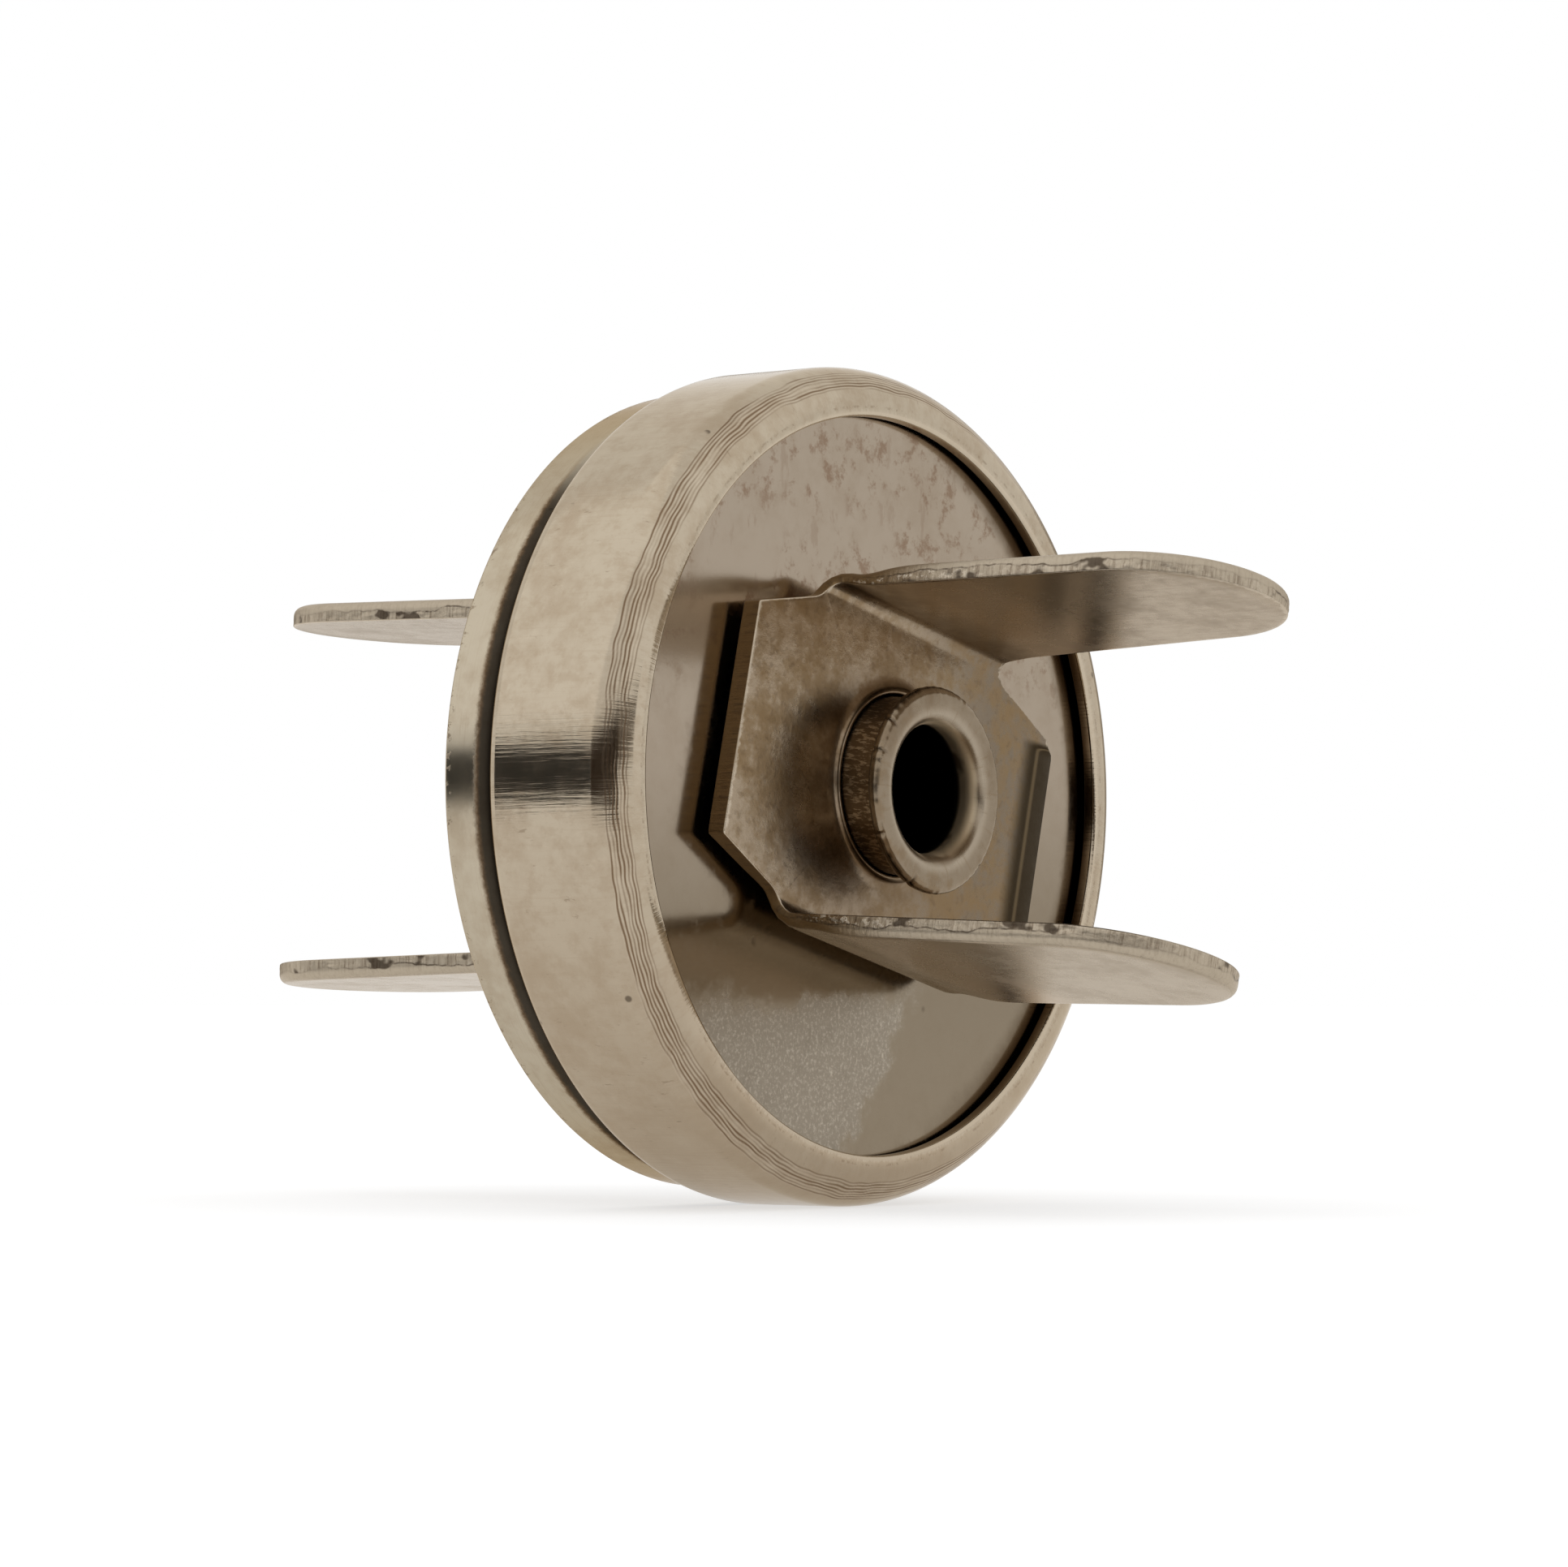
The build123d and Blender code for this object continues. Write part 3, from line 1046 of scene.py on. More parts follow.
@dataclass(frozen=True)
class FerriteFinish:
    """Fired ferrite: dull grey-black, grainy, with small chips."""

    name: str = "ferrite"
    colour: Colour = (0.018, 0.017, 0.017)
    chip_colour: Colour = (0.06, 0.056, 0.054)
    roughness: float = 0.62
    grain_depth: float = 0.004

    def material(self) -> bpy.types.Material:
        """Builds the finish.

        Returns:
            The material.
        """
        plan = Plan(self.name)
        mm = plan.millimetres()
        chips = plan.band(plan.noise(mm, 0.9, 3.0, 0.6), 0.55, 0.68)
        grain = (plan.noise(mm, 6.0, 4.0, 0.7), self.grain_depth)
        return plan.finished(
            plan.blend(chips, self.colour, self.chip_colour), self.roughness, grain
        )


CUP_FINISH = CupFinish(
    "shell_plating", (0.455, 0.387, 0.292), (0.350, 0.272, 0.187), roughness=0.13
)
BACK_PLATE_FINISH = BackPlateFinish(
    "back_plate_plating", (0.360, 0.297, 0.229), (0.310, 0.245, 0.180), roughness=0.13
)
DISC_FINISH = DiscFinish(
    "disc_plating",
    (0.455, 0.395, 0.300),
    (0.350, 0.280, 0.195),
    (0.010, 0.005, 0.002),
    (0.70, 0.60, 0.48),
    roughness=0.15,
)
RIVET_FINISH = RivetFinish(
    "rivet_plating", (0.250, 0.198, 0.140), (0.165, 0.115, 0.068), roughness=0.24
)
PRONG_FINISH = ProngFinish(
    "prong_plating", (0.345, 0.280, 0.205), (0.215, 0.160, 0.105), roughness=0.24
)


# Pieces.


def settle(
    made: bpy.types.Object, material: bpy.types.Material, body: Body, node: str
) -> None:
    """Dresses a piece, puts it on its body and lets it stand for its plain solid.

    Args:
        made: The piece.
        material: Its finish.
        body: The body that it moves with.
        node: The plain solid that it stands for.
    """
    made.data.materials.append(material)
    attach(made, body.value)
    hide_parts(node)
    LOG.info("%s: %d faces", made.name, len(made.data.polygons))


@dataclass(frozen=True)
class SeatedPlate:
    """A turned plate with a raised seat round its rivet hole: the back plate or the disc."""

    plain_x: float
    face_x: float
    seat_x: float
    radius: float
    rim_rounds: Pair
    seat_radius: float = 2.8
    hole_radius: float = 1.95
    seat_round: float = 0.05
    hole_round: float = 0.03
    step: float = 0.4
    segments: int = 360

    def piece(self, name: str) -> bpy.types.Object:
        """Turns the plate.

        Args:
            name: The piece's name.

        Returns:
            The new object.
        """
        section = rounded_line(
            [
                (self.plain_x, self.hole_radius),
                (self.plain_x, self.radius),
                (self.face_x, self.radius),
                (self.face_x, self.seat_radius),
                (self.seat_x, self.seat_radius),
                (self.seat_x, self.hole_radius),
            ],
            [self.hole_round, *self.rim_rounds, self.seat_round, self.seat_round, self.hole_round],
            self.step,
            True,
        )
        return TurnedForm(section, True, self.segments).skin().piece(name)


@dataclass
class MagnetCup:
    """The drawn shell with its folded-in rim, the back plate under it and the magnet inside."""

    shell_radius: float = 9.0
    sheet: float = 0.3
    front_x: float = -3.75
    lip_x: float = -0.25
    socket_radius: float = 3.1
    opening_radius: float = 7.9
    front_round: float = 0.4
    shoulder_round: float = 0.95
    edge_round: float = 0.1
    hem_round: float = 0.03
    section_step: float = 0.5
    plate: SeatedPlate = SeatedPlate(-1.45, -0.65, -0.45, 8.349, (0.05, 0.05))
    flow_pitch: float = 0.078
    flow_start: float = 0.52
    flow_end: float = 1.08
    flow_depth: float = 0.0026
    flow_soft: float = 0.05
    flow_margin: float = 0.07
    shell_segments: int = 540

    def flow_lines(self, form: TurnedForm) -> tuple[Array, Array]:
        """Darkness of the fine wavy lines that folding left round the shoulder.

        With s the running length from the shoulder's start, less a wobble round the rim, the lines
        are (0.5 - 0.5 cos(2 pi s / pitch)) to the power 1.4, faded out past both ends of their
        bundle.

        Args:
            form: The shell's turned form.

        Returns:
            The darkness, 0 between lines and 1 in a line's middle, and 1 all over the bundle.
        """
        x, radius, angle = form.grid()
        rise = x - (self.lip_x - self.shoulder_round)
        run = radius - (self.shell_radius - self.shoulder_round)
        outside = np.hypot(rise, run) > self.shoulder_round - 0.5 * self.sheet
        on_arc = (rise > -0.02) & (run > -0.02) & outside
        along = self.shoulder_round * np.arctan2(rise, run)
        around = self.shell_radius * np.stack([np.cos(angle), np.sin(angle)], axis=-1)
        place = np.concatenate([around, 2.0 * along[..., None]], axis=-1)
        wander = 0.035 * ring_wobble(angle, (2, 9), 4) + 0.007 * ring_wobble(angle, (50, 120), 5)
        along = along - wander - 0.018 * field_wobble(place, 0.55, 6)
        start, end, soft = self.flow_start, self.flow_end, self.flow_soft
        bundle = smooth_step(along, start, start + soft) * smooth_step(-along, -end, -end + soft)
        lines = (0.5 - 0.5 * np.cos(2.0 * pi * along / self.flow_pitch)) ** 1.4
        strength = np.clip(0.75 + 0.40 * field_wobble(place * [1, 1, 9], 1.4, 7), 0.2, 1.0)
        return lines * bundle * strength * on_arc, bundle * on_arc

    def shell(self) -> bpy.types.Object:
        """The drawn shell, one wall thick everywhere, with the lines that folding left on it.

        Returns:
            The new object.
        """
        inner_front, inner_lip = self.front_x + self.sheet, self.lip_x - self.sheet
        inner_radius = self.shell_radius - self.sheet
        turn = self.shoulder_round * pi / 2
        first = (self.flow_start - self.flow_margin) / turn
        last = (self.flow_end + self.flow_margin) / turn
        arc = [np.linspace(0.0, first, 8), np.linspace(first, last, 54), np.linspace(last, 1.0, 8)]
        section = rounded_line(
            [
                (self.front_x, self.socket_radius),
                (self.front_x, self.shell_radius),
                (self.lip_x, self.shell_radius),
                (self.lip_x, self.opening_radius),
                (inner_lip, self.opening_radius),
                (inner_lip, inner_radius),
                (inner_front, inner_radius),
                (inner_front, self.socket_radius),
            ],
            [
                self.edge_round,
                self.front_round,
                self.shoulder_round,
                self.edge_round,
                self.hem_round,
                self.shoulder_round - self.sheet,
                self.edge_round,
                self.hem_round,
            ],
            self.section_step,
            True,
            {2: np.unique(np.concatenate(arc))},
        )
        lip = np.array([self.lip_x, self.opening_radius])
        zero = int(np.argmin(np.linalg.norm(section - lip, axis=1)))
        form = TurnedForm(section, True, self.shell_segments, zero)
        flow, bundle = self.flow_lines(form)
        return form.skin(-self.flow_depth * flow, flow=flow, bundle=bundle).piece("shell")

    def build(self) -> None:
        """Makes the cup's pieces and dresses them."""
        half = Body.MAGNET_HALF
        settle(self.shell(), CUP_FINISH.material(), half, "female_shell")
        plate = self.plate.piece("back_plate")
        settle(plate, BACK_PLATE_FINISH.material(), half, "female_back_plate")
        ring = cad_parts["magnet_ring"]
        ring.data.materials.clear()
        ring.data.materials.append(FerriteFinish().material())


@dataclass
class TubularRivet:
    """A rivet whose tube end is rolled outwards, on either half of the snap."""

    name: str
    node: str
    body: Body
    head: list[Pair]
    head_rounds: list[float]
    face_x: float
    direction: float
    bore_bottom_x: float
    tube_radius: float = 1.9
    wall: float = 0.52
    proud: float = 1.5
    flange_radius: float = 2.2
    flange_thickness: float = 0.35
    flange_round: float = 0.165
    mouth_round: float = 0.44
    neck_round: float = 0.04
    bottom_round: float = 0.1
    section_step: float = 0.12
    segments: int = 360
    crack_depth: float = 0.032
    rim_depth: float = 0.006
    lean: Pair = (0.0, 0.0)
    cracks: tuple[Triple, ...] = (
        (137.0, 0.035, 0.26),
        (159.0, 0.030, 0.30),
        (246.0, 0.045, 0.24),
        (28.0, 0.022, 0.14),
        (312.0, 0.025, 0.12),
        (205.0, 0.020, 0.10),
    )

    def rim_cracks(self, form: TurnedForm) -> Array:
        """Radial cracks that rolling the tube opened in the flange's rim.

        A crack is an angle in degrees, a half width w and a length. At a distance d round the rim
        from it, it is exp(-(d / w) squared) deep, fading inwards over its length.

        Args:
            form: The rivet's turned form.

        Returns:
            The depth of the cracks, from 0 to 1.
        """
        x, radius, angle = form.grid()
        outer = np.abs(x - self.face_x) > self.proud - self.flange_thickness - 0.02
        total = np.zeros_like(radius)
        for degrees, width, length in self.cracks:
            wander = 0.05 * np.sin(9.0 * radius + degrees)
            off = (np.angle(np.exp(1j * (angle - radians(degrees)))) * radius + wander) / width
            rim = self.flange_radius
            inward = smooth_step(radius, rim - length, rim - 0.5 * length)
            total = np.maximum(total, np.exp(-(off**2)) * inward)
        return total * outer

    @property
    def bore(self) -> float:
        """Radius of the bore."""
        return self.tube_radius - self.wall

    def section(self) -> Array:
        """The half section, from the head's middle to the middle of the bore's bottom.

        Returns:
            The section's points.
        """
        end = self.face_x + self.direction * self.proud
        under = end - self.direction * self.flange_thickness
        corners = [
            *self.head,
            (under, self.tube_radius),
            (under, self.flange_radius),
            (end, self.flange_radius),
            (end, self.bore),
            (self.bore_bottom_x, self.bore),
            (self.bore_bottom_x, 0.0),
        ]
        curl = [self.flange_round, self.flange_round, self.mouth_round]
        rounds = [*self.head_rounds, self.neck_round, *curl, self.bottom_round, 0.0]
        return rounded_line(corners, rounds, self.section_step, False)

    def marks(self, form: TurnedForm) -> dict[str, Array]:
        """Where the finish shows soil, a lined throat, painted shade deep in the bore and a painted
        highlight on the rolled end's crest.

        Args:
            form: The rivet's turned form.

        Returns:
            The values that the finish reads, each from 0 to 1.
        """
        x, radius, _ = form.grid()
        proud = (x - self.face_x) * self.direction
        depth, inwards = self.proud - proud, self.bore - radius
        below = self.proud - self.flange_thickness
        flange = smooth_step(proud, below - 0.1, below) * smooth_step(-inwards, 0.0, 0.2)
        soil = smooth_step(proud, 0.0, 0.1) * smooth_step(-proud, -below - 0.05, -below + 0.02)
        # Painted shade deep in the bore.
        bore = smooth_step(inwards, -0.12, -0.02) * smooth_step(depth, 0.60, 0.70)
        throat = smooth_step(inwards, -0.16, -0.04) * smooth_step(proud, 0.3, 0.5)
        # Painted highlight on the crest of the rolled end.
        mouth_highlight = np.exp(-(((inwards + 0.24) / 0.13) ** 2)) * smooth_step(-depth, -0.12, -0.03)
        return {
            "flange": flange,
            "soil": soil * (-inwards > 0.2),
            "bore": bore,
            "throat": throat * (1.0 - bore),
            "mouth_highlight": mouth_highlight,
        }

    def build(self) -> None:
        """Makes the rivet, leans its tube and dresses it."""
        form = TurnedForm(self.section(), False, self.segments)
        _, radius, angle = form.grid()
        crack = self.rim_cracks(form)
        wobble = smooth_step(radius, self.tube_radius, self.flange_radius)
        wobble = wobble * ring_wobble(angle, (20, 70), 11)
        lift = self.rim_depth * wobble - self.crack_depth * crack
        skin = form.skin(lift, **self.marks(form), crack=0.7 * crack)
        rise = np.clip((skin.points[:, 0] - self.face_x) * self.direction / self.proud, 0.0, 1.0)
        skin.points[:, 1:] += rise[:, None] * np.array(self.lean)
        made = skin.piece(self.name)
        settle(made, RIVET_FINISH.material(), self.body, self.node)


@dataclass
class ProngPlate:
    """A blanked six-sided base with a rivet hole and two legs bent out of it.

    The skin is laid out on the flat blank first, with a across it, b along its legs and c through
    the sheet, and then folded: a point past the bend line at b0 runs round the bend's centre by
    the angle (b - b0) / bend radius, and past the bend it runs on straight. A leg's twist moves it
    out by the twist's tangent times a.
    """

    name: str
    node: str
    body: Body
    back_x: float
    direction: float
    turn: float
    leg_height: float
    sheet: float = 0.45
    base_half_width: float = 5.3
    base_corner: float = 2.5
    spacing: float = 7.2
    bend_radius: float = 0.3
    root_half_width: float = 3.05
    corner_round: float = 0.08
    root_round: float = 0.8
    tip_radius: float = 2.65
    splay: float = 1.5
    hole_radius: float = 1.95
    lip_rim_radius: float = 2.02
    lip_foot_radius: float = 2.25
    lip_height: float = 0.12
    lip_edge: tuple[Pair, ...] = ((0.012, 0.008), (0.035, 0.0), (0.10, 0.0))
    lip_fall: float = 0.006
    die_roll: float = 0.2
    bend_roll: float = 0.16
    bend_thinning: float = 0.36
    cut_roll_width: float = 1.1
    cut_roll_drop: float = 0.24
    cut_roll_spread: float = 0.46
    sharp_round: float = 0.035
    torn_depth: float = 0.010
    outline_step: float = 0.09
    twists: tuple[float, float] = (0.0, 0.0)
    twist_pivots: tuple[float, float] = (0.0, 0.0)

    @property
    def bend_angle(self) -> float:
        """How far a leg is bent, in radians."""
        return radians(90.0 - self.splay)

    @property
    def bend_start(self) -> float:
        """Where the bend leaves the flat base."""
        return self.spacing / 2 - self.bend_radius * tan(self.bend_angle / 2)

    @property
    def bend_end(self) -> float:
        """Where the bend ends, along the sheet's inner skin."""
        return self.bend_start + self.bend_radius * self.bend_angle

    def along(self, height: float) -> float:
        """Distance along the blank of a place on a leg this high over the base's back."""
        bend_top = self.sheet + self.bend_radius * (1.0 - cos(self.bend_angle))
        return self.bend_end + (height - bend_top) / sin(self.bend_angle)

    def outline(self) -> Array:
        """The blank's outline, anticlockwise: straight runs, rounded corners and round leg ends.

        A leg's side runs straight from its root to the point where it touches the round end. That
        point lies at the angle acos(r / d) - atan2(h, w) on the end's circle, of radius r, whose
        centre is d away from the root's corner, h above it and w beside it.

        Returns:
            The outline's points on the blank.
        """
        centre = self.leg_height - self.tip_radius
        apart = sqrt(self.root_half_width**2 + centre**2)
        touch = acos(self.tip_radius / apart) - atan2(centre, self.root_half_width)
        sweep = np.linspace(touch, pi / 2, 48)
        tip = self.tip_radius * np.stack([np.cos(sweep), np.sin(sweep)], axis=1)
        tip[:, 1] += self.along(centre)
        side = rounded_line(
            [
                (self.base_half_width, 0.0),
                (self.base_half_width, self.base_corner),
                (self.root_half_width, self.bend_start),
                (float(tip[0, 0]), float(tip[0, 1])),
            ],
            [0.0, self.corner_round, self.root_round, 0.0],
            self.outline_step,
            False,
        )
        quarter = np.concatenate([side[:-1], tip])
        half = np.concatenate([quarter, (quarter * [-1, 1])[::-1][1:]])
        return np.concatenate([half, (half * [1, -1])[::-1][1:-1]])

    def rays(self, inner: Array, outer: Array, counts: tuple[int, int, int] = (12, 8, 24)) -> Array:
        """Points of one face, on rays from the hole out to the outline.

        Each ray has as many points before the bend, in the bend and after it as any other, so that
        rows of points follow the bend. A ray that stays on the base spreads them evenly.

        Args:
            inner: Where each ray starts.
            outer: Where each ray ends.
            counts: Points before, in and after the bend.

        Returns:
            The blank's places, rays by points.
        """
        rise_start, rise_end = np.abs(inner[:, 1]), np.abs(outer[:, 1])
        span = np.maximum(rise_end - rise_start, 1e-9)
        first = np.clip((self.bend_start - rise_start) / span, 0.0, 1.0)[:, None]
        last = np.clip((self.bend_end - rise_start) / span, 0.0, 1.0)[:, None]
        before = np.linspace(0.0, 1.0, counts[0])[None, :] * first
        within = first + np.linspace(0.0, 1.0, counts[1] + 1)[None, 1:] * (last - first)
        after = last + np.linspace(0.0, 1.0, counts[2] + 1)[None, 1:] * (1.0 - last)
        shares = np.concatenate([before, within, after], axis=1)
        even = np.linspace(0.0, 1.0, sum(counts))[None, :]
        shares = np.where((rise_end < self.bend_start + 1e-9)[:, None], even, shares)
        return inner[:, None, :] + shares[..., None] * (outer - inner)[:, None, :]

    def fold(self, blank: Array) -> Array:
        """Folds places on the blank into the snap's frame.

        Args:
            blank: Places a, b and c on the blank, in the last axis.

        Returns:
            Places in the snap's frame.
        """
        a, b, c = blank[..., 0], blank[..., 1], blank[..., 2]
        reach = np.abs(b)
        angle = np.clip((reach - self.bend_start) / self.bend_radius, 0.0, self.bend_angle)
        arm = self.bend_radius + self.sheet - c
        past = np.maximum(reach - self.bend_end, 0.0)
        flat = np.minimum(reach, self.bend_start)
        outwards = flat + arm * np.sin(angle) + past * cos(self.bend_angle)
        height = self.sheet + self.bend_radius - arm * np.cos(angle) + past * sin(self.bend_angle)
        slope = np.where(b > 0.0, tan(radians(self.twists[0])), tan(radians(self.twists[1])))
        pivot = np.where(b > 0.0, *self.twist_pivots)
        twisted = smooth_step(reach, self.bend_start, self.bend_end + 0.8)
        outwards = outwards + slope * (a - pivot) * twisted
        across = np.array([0.0, cos(radians(self.turn)), -sin(radians(self.turn))])
        axis = np.array([self.direction, 0.0, 0.0])
        axes = np.stack([axis, across, np.cross(axis, across)])
        start = np.array([self.back_x, 0.0, 0.0])
        return np.stack([height, a, np.sign(b) * outwards], axis=-1) @ axes + start

    def gap(self, outline: Array, blank: Array) -> Array:
        """Distance from the blank's outline, worked out from its half width at each reach.

        Args:
            outline: The blank's outline.
            blank: Places a, b and c on the blank.

        Returns:
            The distance, in millimetres.
        """
        quarter = outline[(outline[:, 0] >= 0.0) & (outline[:, 1] >= 0.0)]
        order = np.argsort(quarter[:, 1])
        a, reach = np.abs(blank[..., 0]), np.abs(blank[..., 1])
        beside = np.interp(reach, quarter[order, 1], quarter[order, 0]) - a
        centre = self.along(self.leg_height - self.tip_radius)
        round_end = self.tip_radius - np.hypot(a, reach - centre)
        return np.where(reach > centre, round_end, beside)

    def stain_and_shade(self, blank: Array) -> Array:
        """Painted shade and brown staining round the rivet's foot, in the bend's inner corner and
        below the rivet.

        It is the largest of three bumps exp(-d / w): d is the distance from the rivet's lip, from
        the bend line, and from the base's lower middle.

        Args:
            blank: Places a, b and c on the blank.

        Returns:
            The stain, from 0 to 1.
        """
        a, b = blank[..., 0], blank[..., 1]
        upper_skin = smooth_step(blank[..., 2], 0.05, 0.4)
        ring = np.exp(-np.maximum(np.hypot(a + 0.25, b + 0.2) - 2.35, 0.0) / 0.45)
        bend = np.exp(-np.abs(np.abs(b) - self.bend_end - 0.3) / 0.5)
        low = 0.9 * np.exp(-np.hypot((a + 1.2) / 2.0, (b + 2.6) / 0.9))
        return upper_skin * np.clip(np.maximum(np.maximum(0.55 * ring, 0.6 * bend), low), 0.0, 1.0)

    def skin(self) -> Skin:
        """The plate's closed skin: front face, edges, walls, back face, hole and pierced lip.

        Returns:
            The skin, with the values that the finish reads.
        """
        outline = self.outline()
        normals = line_normals(outline, True)
        aim = outline / np.linalg.norm(outline, axis=1, keepdims=True)
        reach = np.abs(outline[:, 1])
        on_leg = smooth_step(reach, self.bend_start, self.bend_end + 0.3)
        at_bend = np.exp(-(((reach - self.bend_end) / 0.75) ** 2))
        at_bend = at_bend * (reach > self.base_corner + 0.1)
        front_round = self.sharp_round
        back_round = self.sharp_round + (self.die_roll - self.sharp_round) * on_leg
        back_round = back_round + self.bend_roll * at_bend
        columns: list[Array] = []

        def level(places: Array, heights: Array | float) -> None:
            """Adds one point to every ray, at these places on the blank and heights in it."""
            column = np.column_stack([places, np.broadcast_to(heights, len(places))])
            columns.append(column[:, None, :])

        front = self.rays(aim * self.lip_foot_radius, outline - normals * front_round)
        columns.append(np.concatenate([front, np.full((*front.shape[:2], 1), self.sheet)], axis=2))
        for angle in np.linspace(0.0, pi / 2, 4)[1:]:
            inset = front_round * (1 - sin(angle))
            level(outline - normals * inset, self.sheet - front_round * (1 - cos(angle)))
        for share in np.linspace(0.0, 1.0, 8)[1:-1]:
            wall = np.column_stack([outline, np.full(len(outline), 0.1 * share)])
            zone = smooth_step(share, 0.0, 0.2) * smooth_step(-share, -0.62, -0.45)
            torn = self.torn_depth * field_wobble(wall, 0.16, 21) * on_leg * zone
            heights = (self.sheet - front_round) * (1 - share) + back_round * share
            level(outline + normals * torn[:, None], heights)
        for angle in np.linspace(0.0, pi / 2, 7):
            inset = back_round * (1 - cos(angle))
            level(outline - normals * inset[:, None], back_round * (1 - sin(angle)))
        back = self.rays(aim * self.hole_radius, outline - normals * back_round[:, None])[:, ::-1]
        columns.append(np.concatenate([back, np.zeros((*back.shape[:2], 1))], axis=2)[:, 1:])
        top = self.sheet + self.lip_height
        for height in np.linspace(0.0, top - 0.03, 6)[1:]:
            level(aim * self.hole_radius, height)
        for outwards, drop in self.lip_edge:
            level(aim * (self.hole_radius + outwards), top - drop)
        level(aim * self.lip_rim_radius, top - self.lip_fall)
        middle = 0.5 * (self.lip_rim_radius + self.lip_foot_radius)
        level(aim * middle, self.sheet + 0.4 * self.lip_height)
        blank = np.concatenate(columns, axis=1)
        places = self.fold(self.rolled(blank))
        flat = blank.reshape(-1, 3)
        carried = {
            "blank": flat,
            "gap": self.gap(outline, flat),
            # painted shade and brown staining
            "stain_and_shade": self.stain_and_shade(flat),
            "roll": self.roll_share(flat),
        }
        return Skin(places.reshape(-1, 3), grid_faces(*blank.shape[:2], True, True), carried)

    def rolled(self, blank: Array) -> Array:
        """Thins the sheet round the bends, and thins and spreads it towards the one rolled side.

        Round a bend the outer skin comes in by a bell curve of the reach. At the rolled side the
        front sinks by drop (1 - sqrt(1 - 0.96 t^2)) and the sheet spreads by t squared, where t
        runs from 0 at the roll's inner line to 1 at the side.

        Args:
            blank: Places on the blank.

        Returns:
            The places, with c scaled down within the roll.
        """
        a, b, c = blank[..., 0], blank[..., 1], blank[..., 2]
        stretched = self.bend_thinning * np.exp(-(((np.abs(b) - self.bend_end - 0.1) / 0.85) ** 2))
        c = self.sheet - (self.sheet - c) * (1.0 - stretched)
        share = self.roll_share(blank) ** 2
        drop = self.cut_roll_drop * (1.0 - np.sqrt(1.0 - 0.96 * share))
        lowered = c * (1.0 - drop / self.sheet)
        return np.stack([a + self.cut_roll_spread * share, b, lowered], axis=-1)

    def roll_share(self, blank: Array) -> Array:
        """How far a place lies into the rolled side: 0 at the roll's inner line, 1 at the side.

        Args:
            blank: Places on the blank.

        Returns:
            The share, from 0 to 1.
        """
        into = blank[..., 0] - self.base_half_width + self.cut_roll_width
        from_corner = self.base_corner - np.abs(blank[..., 1])
        return np.clip(into / self.cut_roll_width, 0.0, 1.0) * smooth_step(from_corner, 0.02, 0.30)

    def build(self) -> None:
        """Makes the plate and dresses it."""
        made = self.skin().piece(self.name)
        settle(made, PRONG_FINISH.material(), self.body, self.node)


# The studio.


@dataclass(frozen=True)
class Card:
    """A card that only the snap's polish shows: sizes in metres, bearings in degrees."""

    name: str
    bearings: Pair
    distance: float
    feet: Pair
    tops: Pair
    colour: Colour


@dataclass(frozen=True)
class Lamp:
    """A soft square lamp: its place and width in metres, and its power in watts."""

    name: str
    place: Triple
    width: float
    power: float


PALE_CARD = (0.620, 0.570, 0.500)
DARK_CARDS = ((0.050, 0.049, 0.046), (0.060, 0.042, 0.028), (0.150, 0.115, 0.085))
CARDS = (
    Card("low_card", (-146.0, -92.0), 0.100, (-0.0055, -0.0055), (0.0141, 0.0150), DARK_CARDS[0]),
    Card("middle_card", (-92.0, -34.0), 0.062, (-0.0060, -0.0060), (0.0118, 0.0165), DARK_CARDS[1]),
    Card("high_card", (-34.0, 10.0), 0.063, (0.0030, 0.0062), (0.0160, 0.0110), DARK_CARDS[2]),
    Card("backdrop_card", (92.0, 168.0), 0.150, (-0.0090, -0.0090), (0.0420, 0.0420), PALE_CARD),
)
LAMPS = (
    Lamp("key", (-0.25, -0.45, 0.55), 1.0, 0.6),
    Lamp("fill", (0.5, 0.1, 0.4), 1.0, 0.3),
)


